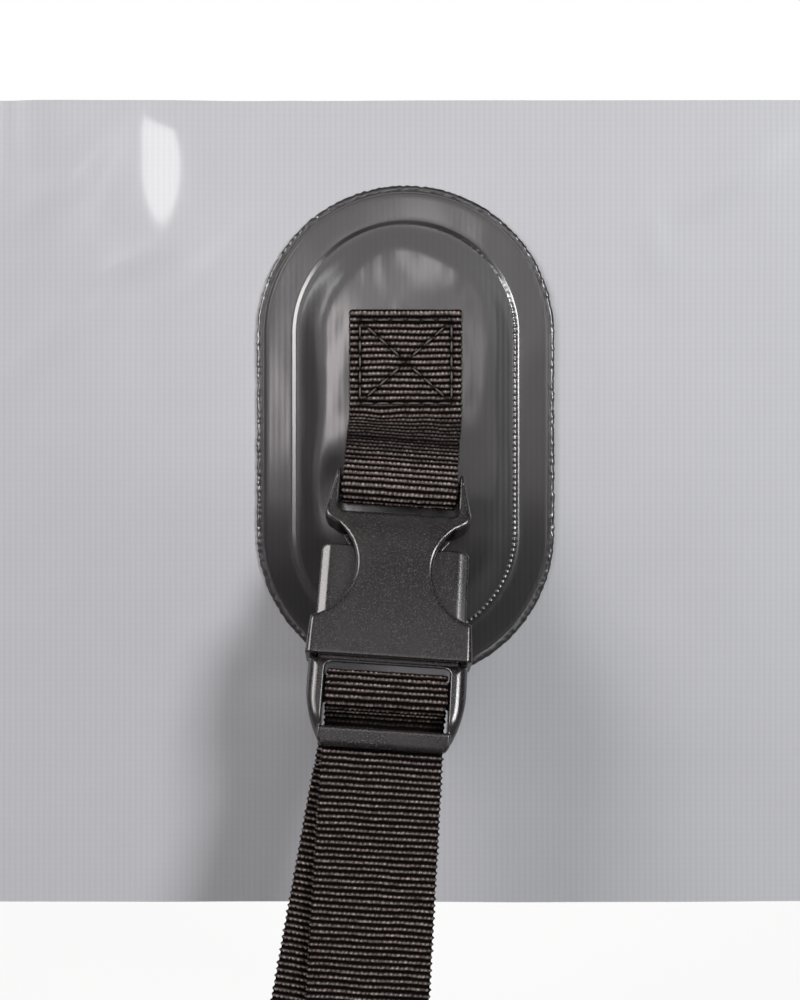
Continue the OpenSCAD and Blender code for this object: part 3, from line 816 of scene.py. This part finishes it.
# %% The sewn loop
def seam_distance(x, z):
    """Distance from the sewn box and cross."""
    box = np.maximum(np.abs(x) - BOX_HALF, np.maximum(BOX_LOW - z, z - BOX_HIGH))
    edge = np.abs(box)
    middle = (BOX_LOW + BOX_HIGH) / 2
    slope = (BOX_HIGH - BOX_LOW) / 2 / BOX_HALF
    cross = np.abs(np.abs(z - middle) - slope * np.abs(x)) / math.hypot(1, slope)
    return np.minimum(edge, np.where(box < 0, cross, 9))


def tab_sink_and_shade(x, centre):
    """The stitches draw the front layer in, and below them it is crumpled, with one crease across.

    Where it sinks, the webbing's colour is darkened as painted shade.
    """
    y, z = centre[:, :1], centre[:, 1:]
    front = y < (FRONT_Y + BACK_Y) / 2 + 0.2
    drawn_and_shaded = (z > CREASE_Z) * 0.42 * np.exp(-((seam_distance(x, z + 0 * x) / 0.6) ** 2))
    crumpled_and_shaded = 0.26 * np.exp(-(((z + 0.8) / 4.6) ** 4)) + 0.3 * np.exp(-(((z + 1.9 + 0.03 * x) / 0.45) ** 2))
    return front * (drawn_and_shaded + crumpled_and_shaded)


def hang_on_bar(points, along):
    """Twists the lower part of the loop to the buckle's roll."""
    x, y, z = np.moveaxis(points, -1, 0)
    rolled = turn_y(np.stack([x, y, z - bar[2]], -1), roll) + [bar[0], 0, bar[2]]
    weight = smooth_step((5.5 - z) / 7)[..., None]
    pucker = 0.28 * soft_noise(x, z, 3.5, 2.2, 2.2) * np.exp(-(((z - 2) / 4.5) ** 2)) * (y < -4.9)
    moved = points * (1 - weight) + rolled * weight
    moved[..., 1] += pucker
    return moved


loop_centre, loop_s = resample(loop_path(), ROW_STEP)
disturbed = 0.4 * np.exp(-(((loop_centre[:, 1] - 2) / 4) ** 2)) * (loop_centre[:, 0] < -4.9)
crowded = 5.0 * smooth_step((4 - loop_centre[:, 1]) / 9.5) * (loop_s < loop_s[-1] / 2)
loop = webbing(
    "anchor_loop", loop_centre, loop_s, hang_on_bar, 12.5, tab_sink_and_shade,
    unrest=disturbed, crowd=crowded, fullness=0.26,
)
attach(loop, "wall")
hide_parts("anchor_webbing")
print(f"loop: {loop_s[-1]:.0f} mm of webbing, {len(loop.data.polygons)} faces")

# %% [markdown]
# ## The adjustable strap
#
# The strap comes up behind the buckle, goes over the middle bar and down behind the end bar, where its load
# pulls it against the plastic. It is one length. Its two ends swing below the buckle, so it is built in two
# pieces that meet out of sight behind the adjuster, each bending from the plug into its own strand.

# %% The strap's path
MID_BAR_Y, MID_BAR_TOP, MID_BAR_LOW = -1.1, -43.3, -45.9
WRAP_R = 1.5 + LAYER_GAP + WEB_T / 2
END_TOP, END_BOTTOM = -52.5, -56.3
TAIL_Y, LOAD_Y = 1.3, 3.8
LOAD_SHIFT = -1.2
WRAP_Z, STRAND_Z = -56.5, -57.4
STRAND_TILT = math.radians(5)
TAIL_SKEW, LOAD_SKEW = math.radians(3.4), math.radians(10.1)
TAIL_L, LOAD_L, HEM_L = 62.0, 72.0, 14.0
BEND_L = 9.0
DOWN = np.array([-math.sin(STRAND_TILT), -math.cos(STRAND_TILT)])
OUT = np.array([-math.cos(STRAND_TILT), math.sin(STRAND_TILT)])


def hung(points):
    """Points of the buckle's YZ plane, tilted as it hangs."""
    y, z = np.moveaxis(np.asarray(points, float), -1, 0)
    return np.stack([y * math.cos(tilt) + z * math.sin(tilt), z * math.cos(tilt) - y * math.sin(tilt)], -1)


def strand(pivot_y, length):
    """The middle of a strand, from its pivot down to its end."""
    turn = tilt - STRAND_TILT
    r = BEND_L / turn
    c = r * np.array([math.cos(tilt), -math.sin(tilt)])
    angles = tilt - turn * np.linspace(0, 1, 9)
    bend = [c + r * np.array([-math.cos(a), math.sin(a)]) for a in angles]
    path = np.array(bend + [bend[-1] + (length - BEND_L) * DOWN])
    return path + hung((pivot_y, STRAND_Z))


def hem(end):
    """The strand's end folded over and laid back up its outer face."""
    c = end + OUT * FOLD_R
    turns = np.radians(np.arange(22.5, 181, 22.5))
    fold = [c + FOLD_R * (math.sin(a) * DOWN - math.cos(a) * OUT) for a in turns]
    return np.array(fold + [fold[-1] - HEM_L * DOWN])


wrap = [(LOAD_Y, WRAP_Z), (LOAD_Y, WRAP_Z + 1.5)]
wrap += curve(wrap[-1], (0, 12), (MID_BAR_Y + WRAP_R, MID_BAR_LOW), (0, 6))
wrap += [(MID_BAR_Y + WRAP_R, MID_BAR_LOW), *arc((MID_BAR_Y, MID_BAR_TOP), WRAP_R, 0, 180)]
under_bar = arc((MID_BAR_Y, MID_BAR_LOW), WRAP_R, 180, 258, 9)
leaving = 4 * np.array([math.cos(math.radians(348)), math.sin(math.radians(348))])
wrap += [*under_bar, *curve(under_bar[-1], leaving, (TAIL_Y, END_TOP), (0, -4))]
wrap += [(TAIL_Y, END_TOP), (TAIL_Y, WRAP_Z)]
tail_path = strand(TAIL_Y, TAIL_L)
load_path = strand(LOAD_Y, LOAD_L)
route = np.concatenate([load_path[::-1], hung(wrap), tail_path, hem(tail_path[-1])])
strap_centre, strap_s = resample(route, ROW_STEP)
load_pivot, tail_pivot = hung((LOAD_Y, STRAND_Z)), hung((TAIL_Y, STRAND_Z))
print(f"strap: {strap_s[-1]:.0f} mm of webbing")

# %% [markdown]
# ## The strap's two pieces
#
# The load strand slants to one side below the buckle, the tail hangs straighter, and both are turned with the
# buckle. Each piece is a length of the one path. Below the end bar it is handed from the plug to its own
# strand, blended over a few millimetres, so that a swinging strand bends there and doesn't break off.

# %% The strap
TAUT_RIB = 1.26


def nearest(point):
    """The number of the strap's point that is nearest to a place."""
    return int(np.argmin(np.linalg.norm(strap_centre - point, axis=1)))


LOAD_S, TAIL_S = strap_s[nearest(load_pivot)], strap_s[nearest(tail_pivot)]
SEAM = nearest(hung((MID_BAR_Y + WRAP_R + 0.6, -49.0)))


def skewed(points, along):
    """Slants each strand below its pivot, then rolls the whole strap with the buckle."""
    strands = ((tail_pivot, TAIL_SKEW, along - TAIL_S), (load_pivot, LOAD_SKEW, LOAD_S - along))
    for pivot, skew, below in strands:
        at = np.array([0, *pivot])
        angle = (skew - roll) * smooth_step(below / 5)
        points = turn_y(points - at, angle) + at
    points = points + LOAD_SHIFT * smooth_step(1 - (along - LOAD_S) / 7)[..., None] * [1, 0, 0]
    return turn_y(points, roll) + bar


def end_bar_sink_and_shade(x, centre):
    """The strap is drawn in just above the end bar, where the frame keeps the light off it, and its colour is
    darkened there as painted shade.
    """
    above = hung((0, END_TOP + 1.6))[1]
    return 0.45 * np.exp(-(((centre[:, 1:] - above) / 1.7) ** 2)) + 0 * x


def strap_piece(name, rows, seed, nodes):
    """One piece of the strap, bending from the plug into the body of its strand."""
    piece = webbing(
        name, strap_centre[rows], strap_s[rows] - strap_s[SEAM],
        lambda points, along: skewed(points, along + strap_s[SEAM]),
        seed, end_bar_sink_and_shade, fullness=0.07, rib=TAUT_RIB,
    )
    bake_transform(piece)
    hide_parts(*nodes)
    print(f"{name}: {len(piece.data.polygons)} faces")


strap_piece("strap_front", slice(SEAM, None), 31.5, ["tail_strand", "strap_wrap"])
strap_piece("strap_back", slice(0, SEAM + 1), 44.5, ["load_strand"])

# %% [markdown]
# ## Stitches
#
# Each lockstitch shows as one short length of thread that dips into the webbing at both ends. The box is sewn
# first and the cross inside it after, as a bar-tacking machine does it.

# %% Stitches
STITCH_L = 2.5
STITCH_PITCH = 3.2
STITCH_LIFT, STITCH_DIP = 0.26, 0.3
THREAD = 0.42
RINGS, RING_SIDES = 13, 10
HEM_INSET, HEM_HALF = 2.8, 9.7

thread_finish, tree, shader = new_material("black_thread")
place = add(tree, "TexCoord").outputs["Object"]
lay_and_glint = add(tree, "TexNoise", Vector=place, Scale=3600.0, Detail=2.0).outputs["Fac"]
# The thread's colour runs from black to a lighter grey with its lay; the lighter grey is painted highlight.
tone = between(tree, lay_and_glint, (0.003, 0.002, 0.002), (0.2, 0.17, 0.16))
tree.links.new(tone, shader.inputs["Base Color"])
emboss(tree, shader, lay_and_glint, 0.04, strength=0.8)
shader.inputs["Roughness"].default_value = 0.5


def stitch(start, end, out):
    """A bowed length of thread between two points, as a grid of rings."""
    start, end, out = (np.asarray(v, float) for v in (start, end, out))
    span = end - start
    side = np.cross(span, out)
    side /= np.linalg.norm(side)
    t = np.linspace(0, 1, RINGS)
    bow = np.sin(math.pi * t) ** 0.6
    middle = start + t[:, None] * span + (STITCH_LIFT * bow - STITCH_DIP)[:, None] * out
    radius = THREAD / 2 * np.clip(bow, 0.25, 1) * (1 + 0.12 * np.cos(TAU * t * 4))
    turn = np.linspace(0, TAU, RING_SIDES, endpoint=False)
    ring = np.cos(turn)[:, None] * side + np.sin(turn)[:, None] * out
    return middle[:, None, :] + radius[:, None, None] * ring[None]


def stitched(name, rows, body, node):
    """One object for rows of stitches, each given as start, end and outward direction."""
    points, quads, start = [], [], 0
    for begin, finish, out in rows:
        begin, finish = np.asarray(begin, float), np.asarray(finish, float)
        count = max(1, int(np.linalg.norm(finish - begin) / STITCH_PITCH))
        heading = (finish - begin) / np.linalg.norm(finish - begin)
        for k in range(count):
            at = begin + (finish - begin) * (k + 0.5) / count
            grid = stitch(at - heading * STITCH_L / 2, at + heading * STITCH_L / 2, out)
            quads.append(grid_quads(*grid.shape[:2], start, wrap=True))
            points.append(grid.reshape(-1, 3))
            start += len(points[-1])
    points = np.concatenate(points)
    obj = mesh_object(name, points, np.concatenate(quads), thread_finish)
    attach(obj, body)
    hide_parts(node)
    print(f"{name}: {len(points) // (RINGS * RING_SIDES)} stitches")


# %% The two seams
def box_rows():
    """The box and the cross inside it, on the front of the tab."""
    y = FRONT_Y - WEB_T / 2 + 0.1
    x, low, high = BOX_HALF, BOX_LOW, BOX_HIGH
    middle = (low + high) / 2
    corners = [((-x, low), (x, low)), ((-x, high), (x, high))]
    for s in (-1, 1):
        corners.append(((s * x, low + 0.8), (s * x, high - 0.8)))
        corners.append(((s * (x - 1.4), low + 1.4), (s * 1.2, middle - 1.1)))
        corners.append(((s * 1.2, middle + 1.1), (s * (x - 1.4), high - 1.4)))
    return [((a[0], y, a[1]), (b[0], y, b[1]), (0, -1, 0)) for a, b in corners]


def hem_rows():
    """Two rows across the tail's hem."""
    rows = []
    face = OUT * (WEB_T * 1.5 + LAYER_GAP - 0.1)
    for up in (HEM_INSET, HEM_L - HEM_INSET):
        at = tail_path[-1] - up * DOWN + face
        along = np.array([TAIL_S + TAIL_L - up])
        ends = [skewed(np.array([[x, *at]]), along)[0] for x in (-HEM_HALF, HEM_HALF)]
        out = turn_y(np.array([0, *OUT]), TAIL_SKEW)
        rows.append((ends[0], ends[1], out))
    return rows


stitched("box_stitches", box_rows(), "wall", "box_stitching")
stitched("hem_stitches", hem_rows(), "tail", "hem_stitching")

# %% [markdown]
# ## Moulded plastic
#
# The buckle is injection moulded in acetal. Moulded parts have no sharp edges, and how an edge catches the
# light depends on its radius: generous on the rims that fingers touch, tight at the mouth and inside the
# slots. Booleans and bevels on such thin walls tend to fail, so the mouldings are described as distance
# fields: each rule below joins or cuts two shapes with a fillet of a given radius.


# %% Distance fields
def polygon(u, v, points):
    """Signed distance from a polygon on two arrays, negative inside."""
    points = np.asarray(points, float)
    best = np.full(np.broadcast(u, v).shape, 1e9)
    inside = np.zeros(best.shape, bool)
    for (ax, ay), (bx, by) in zip(points, np.roll(points, -1, axis=0)):
        ex, ey = bx - ax, by - ay
        wx, wy = u - ax, v - ay
        t = np.clip((wx * ex + wy * ey) / max(ex * ex + ey * ey, 1e-12), 0, 1)
        best = np.minimum(best, (wx - ex * t) ** 2 + (wy - ey * t) ** 2)
        crosses = (ay > v) != (by > v)
        inside ^= crosses & (wx < (ex * wy / ey if ey else 0))
    return np.where(inside, -1, 1) * np.sqrt(best)


def block(u, v, half_u, half_v, r=0.0):
    """Signed distance from a rectangle with rounded corners."""
    du, dv = np.abs(u) - half_u + r, np.abs(v) - half_v + r
    return np.hypot(np.maximum(du, 0), np.maximum(dv, 0)) + np.minimum(np.maximum(du, dv), 0) - r


def both(a, b, r):
    """The overlap of two shapes, its edge rounded to radius r."""
    return np.minimum(np.maximum(a, b), -r) + np.hypot(np.maximum(a + r, 0), np.maximum(b + r, 0))


def either(a, b, r):
    """The union of two shapes, with a fillet of radius r between them."""
    return -both(-a, -b, r)


def mirrored(half):
    """A closed outline from its half on the +X side, given top to bottom."""
    return list(half) + [(-x, z) for x, z in reversed(half)]


# %% [markdown]
# ## From a field to a mesh
#
# A field only says how far away the surface is. To get a mesh, it is worked out on a grid: each cell that the
# surface passes through gets one point, and the points of neighbouring cells are joined. The points are then
# moved down the field's slope until they lie on the surface, which takes the grid's steps out of it.


# %% Reading off the surface
def sample(field, points):
    """A field's values at points given in grid steps, read linearly."""
    top = np.array(field.shape) - 2
    cell = np.clip(points.astype(int), 0, top)
    f = points - cell
    value = 0
    for i in (0, 1):
        for j in (0, 1):
            for k in (0, 1):
                weight = np.prod(np.where([i, j, k], f, 1 - f), axis=1)
                value = value + weight * field[cell[:, 0] + i, cell[:, 1] + j, cell[:, 2] + k]
    return value


def surface(field):
    """Points, in grid steps, and quads of a field's zero level, by the surface-nets rule."""
    inside = field < 0
    shape = np.array(field.shape) - 1
    total = np.zeros((*shape, 3))
    hits = np.zeros(tuple(shape), int)
    unit = np.eye(3, dtype=int)
    for axis in range(3):
        u, v = (k for k in range(3) if k != axis)
        for du in (0, 1):
            for dv in (0, 1):
                near = unit[u] * du + unit[v] * dv
                far = near + unit[axis]
                a = field[tuple(slice(near[k], near[k] + shape[k]) for k in range(3))]
                b = field[tuple(slice(far[k], far[k] + shape[k]) for k in range(3))]
                crosses = (a < 0) != (b < 0)
                t = np.divide(a, a - b, out=np.zeros_like(a), where=crosses)
                total[crosses] += near + t[crosses, None] * unit[axis]
                hits += crosses
    used = hits > 0
    index = np.full(used.shape, -1)
    index[used] = np.arange(used.sum())
    points = np.argwhere(used) + total[used] / hits[used][:, None]
    quads = []
    for axis in range(3):
        u, v = (k for k in range(3) if k != axis)
        inner = [slice(1, n) for n in shape]
        inner[axis] = slice(0, shape[axis])
        ahead = list(inner)
        ahead[axis] = slice(1, shape[axis] + 1)
        a, b = inside[tuple(inner)], inside[tuple(ahead)]
        cells = np.argwhere(a != b) + [0 if k == axis else 1 for k in range(3)]
        ring = [cells, cells - unit[u], cells - unit[u] - unit[v], cells - unit[v]]
        quad = np.stack([index[tuple(c.T)] for c in ring], -1)
        flip = a[a != b] == (axis == 1)
        quads.append(np.where(flip[:, None], quad[:, ::-1], quad))
    return points, np.concatenate(quads)


def moulding(name, low, high, step, shape, material):
    """An object from shape(x, y, z), a distance field in the buckle's frame."""
    low, high = np.array(low, float), np.array(high, float)
    count = np.ceil((high - low) / step).astype(int) + 1
    x, y, z = (low[k] + step * np.arange(count[k]) for k in range(3))
    field = shape(x[:, None, None], y[None, :, None], z[None, None, :])
    points, quads = surface(field)
    slopes = np.gradient(field)
    for _ in range(2):
        slope = np.stack([sample(g, points) for g in slopes], -1)
        steepness = np.maximum(np.einsum("ij,ij->i", slope, slope), (0.3 * step) ** 2)
        move = sample(field, points)[:, None] * slope / steepness[:, None]
        points = points - np.clip(move, -0.35, 0.35)
    obj = mesh_object(name, from_buckle(low + points * step), quads, material)
    print(f"{name}: {len(quads)} faces")
    return obj


# %% [markdown]
# ## The plastic's finish
#
# Such a mould is blasted with sand, so the black plastic has a fine grain, and its gloss changes slowly with
# the way the plastic flowed in. The grain is a fraction of a millimetre across, so it is bump, and lighter
# specks in the colour that are painted sparkle.

# %% Plastic
COOL_BLACK, WARM_BLACK = (0.001, 0.0015, 0.0025), (0.016, 0.0115, 0.012)
SAND_SPARKLE_COLOUR = (0.08, 0.07, 0.072, 1)

plastic, tree, shader = new_material("black_acetal")
place = add(tree, "TexCoord").outputs["Object"]
grain = add(tree, "TexNoise", Vector=place, Scale=2600.0, Detail=2.0, Roughness=0.7).outputs["Fac"]
flow = add(tree, "TexNoise", Vector=place, Scale=75.0, Detail=2.0).outputs["Fac"]
# Lighter specks of the grain: painted sparkle, where it catches the light.
sand_sparkle = add(tree, "MapRange", i0=grain, i1=0.5, i2=0.78, i3=0.0, i4=1.0).outputs[0]
# A slow change from a cool black to a warmer, lighter one: partly the plastic's tint, partly painted sheen.
tint_and_sheen = between(tree, flow, COOL_BLACK, WARM_BLACK)
tone = add(tree, "Mix", data_type="RGBA", i0=sand_sparkle, i6=tint_and_sheen, i7=SAND_SPARKLE_COLOUR).outputs[2]
tree.links.new(tone, shader.inputs["Base Color"])
tree.links.new(calc(tree, "MULTIPLY_ADD", flow, 0.16, 0.19), shader.inputs["Roughness"])
shader.inputs["Specular IOR Level"].default_value = 0.9
emboss(tree, shader, grain, 0.011)
print("plastic made")

# %% [markdown]
# ## The socket
#
# The socket is a flat box, open at the bottom, with a finger notch cut into each side and a slotted neck for
# the webbing. Its walls are 1.8 to 2.4 mm thick, and the rims round the notches are rolled over so that they
# don't cut into a finger or a sleeve.

# %% The socket
SLOT_HALF = WEB_W / 2 + 0.3
MOUTH_Z = -38.1
MOUTH_HALF, BLOCK_HALF = 17.2, 16.6
NOTCH_X, NOTCH_Z, NOTCH_R = 19.7, -18.9, 11.7
EAR_TOP = 3.8
EAR_X, EAR_Z = 12.9, -6.2
CAVITY_TOP = -9.6
CAVITY_HALF, CAVITY_HALF_D = 14.8, 3.5
SOCKET_HALF_D = 5.3
RIM_FILLET = 0.95


def socket_shape(x, y, z):
    """The socket: its outline and its side view overlap, then the slot and the inside are cut out."""
    ear_r = math.hypot(NOTCH_X - EAR_X, NOTCH_Z - EAR_Z) - NOTCH_R
    ear_turn = math.degrees(math.atan2(NOTCH_Z - EAR_Z, NOTCH_X - EAR_X))
    notch_end = 180 + math.degrees(math.acos((NOTCH_X - BLOCK_HALF) / NOTCH_R))
    half = [(SLOT_HALF - 1, EAR_TOP), *arc((SLOT_HALF - 0.6, EAR_TOP - 1.5), 1.5, 80, 18, 8)]
    half += arc((EAR_X, EAR_Z), ear_r, 16, ear_turn, 14)
    half += arc((NOTCH_X, NOTCH_Z), NOTCH_R, ear_turn + 180, notch_end, 40)
    half += [(MOUTH_HALF, MOUTH_Z), (MOUTH_HALF, MOUTH_Z - 6)]
    outline = polygon(x, z, mirrored(half))
    neck, knee, full = (3.0, -4.1), (5.1, -14.6), (SOCKET_HALF_D, MOUTH_Z)
    profile = [(2.4, EAR_TOP + 3), (3.0, EAR_TOP - 1.2), neck, *curve(neck, (0, -8), knee, (0.3, -8))]
    profile += [knee, full, (SOCKET_HALF_D, MOUTH_Z - 6)]
    side = polygon(y, z, mirrored(profile))
    body = both(outline, side, np.where(z > 1, 0.6, RIM_FILLET))
    body = both(body, block(x, y, MOUTH_HALF, SOCKET_HALF_D, 1.8), 0.3)
    slot = block(x, z - 20, SLOT_HALF, 26.5, 1.5)
    body = both(body, -slot, 0.55)
    cavity = np.maximum(block(x, y, CAVITY_HALF, CAVITY_HALF_D, 0.3), z - CAVITY_TOP)
    body = both(body, -cavity, 0.3)
    body = both(body, MOUTH_Z - z, 0.3)
    cross_bar = np.maximum(np.hypot(y, z) - BAR_R, np.abs(x) - SLOT_HALF - 0.5)
    body = either(body, cross_bar, 0.5)
    rib = np.maximum(block(np.abs(x) - 4.2, np.abs(y) - 3.2, 0.5, 0.7, 0.1), block(z + 31.35, 0, 3.35, 1))
    return np.minimum(body, rib)


socket = moulding("socket_moulding", (-17.9, -6.0, -38.9), (17.9, 6.0, 4.6), 0.3, socket_shape, plastic)
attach(socket, "socket")
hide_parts("buckle_socket")

# %% [markdown]
# ## The plug
#
# The plug carries the adjuster: a frame with a middle bar that the strap goes over and an end bar that it is
# pulled against. A flat tongue above it slides between the socket's ribs and keeps the two halves in line.

# %% The plug
PLUG_TOP, WINDOW_TOP = -38.4, -39.4
FRAME_HALF, FRAME_HALF_D = 16.4, 4.2
RAIL_R, RAIL_Z = 25.0, -43.0
BASE_HALF, BASE_HALF_D = 14.5, 3.2
ROOT_X, ROOT_Z = 12.3, -35.6


def plug_shape(x, y, z):
    """The plug: the frame with its window, the two bars, the base and the guide tongue."""
    sweep = -math.degrees(math.asin((RAIL_Z - END_BOTTOM) / RAIL_R))
    half = [(FRAME_HALF, PLUG_TOP), *arc((FRAME_HALF - RAIL_R, RAIL_Z), RAIL_R, 0, sweep, 16)]
    outline = polygon(x, z, mirrored(half))
    profile = [(FRAME_HALF_D, PLUG_TOP + 3), *arc((FRAME_HALF_D - 7, END_TOP + 3), 7, 0, -44, 12)]
    profile += [(1.2, END_BOTTOM - 1)]
    side = polygon(y, z, mirrored(profile))
    frame_body = both(outline, side, 2.4)
    frame_body = both(frame_body, block(x, y, FRAME_HALF, FRAME_HALF_D, 3.0), 0.2)
    window = block(x, z + 60, SLOT_HALF, 60 + WINDOW_TOP, 1.5)
    frame_body = both(frame_body, -window, 0.45)
    y_bar, top, low = MID_BAR_Y, MID_BAR_TOP, MID_BAR_LOW
    mid_bar = np.hypot(y - y_bar, z - np.clip(z, low, top)) - 1.5
    within = np.abs(x) - SLOT_HALF - 0.5
    whole = either(frame_body, np.maximum(mid_bar, within), 0.4)
    lip = [(-0.1, END_TOP), (-3.2, END_TOP), (-3.6, END_TOP - 0.4), (-2.9, END_BOTTOM + 0.5)]
    lip += [(-2.5, END_BOTTOM), (-0.6, END_BOTTOM), (-0.1, END_BOTTOM + 0.6)]
    end_bar = polygon(y + 0 * z, z + 0 * y, lip)
    end_bar = both(end_bar, np.maximum(outline, within), 0.3)
    whole = either(whole, end_bar, 0.35)
    base = both(block(x, y, BASE_HALF, BASE_HALF_D, 0.6), block(z + 37.2, 0, 2.2, 1), 0.3)
    tongue = polygon(x, z, mirrored([(1.2, -12.7), (2.2, -13.9), (3.2, -19.7), (3.2, -36.0)]))
    tongue = both(tongue, np.abs(y) - 1.4, 0.4)
    whole = either(np.minimum(whole, base), tongue, 0.4)
    return both(whole, 1.3 - np.hypot(np.abs(x) - ROOT_X, z - ROOT_Z), 0.1)


plug = moulding("plug_moulding", (-17.1, -5.0, -57.1), (17.1, 5.0, -12.0), 0.3, plug_shape, plastic)
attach(plug, "plug")
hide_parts("buckle_plug")

# %% [markdown]
# ## The release arms
#
# Two sprung arms reach up into the socket, and fingers press them together through the notches. They are
# moulded in one with the plug, and are separate pieces here only because they bend. One shape serves both,
# mirrored. Each has a long bevel on its outer side, which catches the light as a bright line.

# %% The release arms
ARM_OUTER, ARM_TIP, SHOULDER = 15.6, -13.9, -29.3
ARM_BEVEL = 2.0
ARM_HALF_D = 2.9
ARM_INNER = 7.4


def arm_shape(x, y, z):
    """The right arm: a wide head with a shoulder that latches, on a thin stem with a round root."""
    stem = 0.9
    outline = [*arc((ARM_OUTER - 1.4, ARM_TIP - 1.4), 1.4, 90, 0, 8), (ARM_OUTER, SHOULDER)]
    outline += [(ROOT_X + stem, SHOULDER), (ROOT_X + stem, ROOT_Z)]
    outline += [(ROOT_X - stem, ROOT_Z), (ROOT_X - stem, SHOULDER - 1.8)]
    outline += [(ARM_INNER + 1.6, SHOULDER + 1.2), (ARM_INNER, SHOULDER + 3.2), (ARM_INNER, ARM_TIP - 3.6)]
    outline += [(ARM_INNER + 1, ARM_TIP - 0.6), (ARM_INNER + 1.6, ARM_TIP)]
    flat = both(polygon(x, z, outline), np.abs(y) - ARM_HALF_D, 0.45)
    lean = math.atan(0.5)
    bevel = (x - ARM_OUTER + ARM_BEVEL) * math.sin(lean) + (np.abs(y) - ARM_HALF_D) * math.cos(lean)
    root = both(np.hypot(x - ROOT_X, z - ROOT_Z) - 1.2, np.abs(y) - ARM_HALF_D, 0.3)
    return np.minimum(both(flat, bevel, 0.3), root)


for side, word in ((-1, "left"), (1, "right")):
    low, high = sorted((side * 6.8, side * 16.2))
    arm = moulding(
        f"{word}_arm_moulding", (low, -3.5, -37.4), (high, 3.5, -13.2), 0.25,
        lambda x, y, z, side=side: arm_shape(side * x, y, z), plastic,
    )
    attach(arm, f"{word}_arm")
    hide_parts(f"{word}_release_arm")
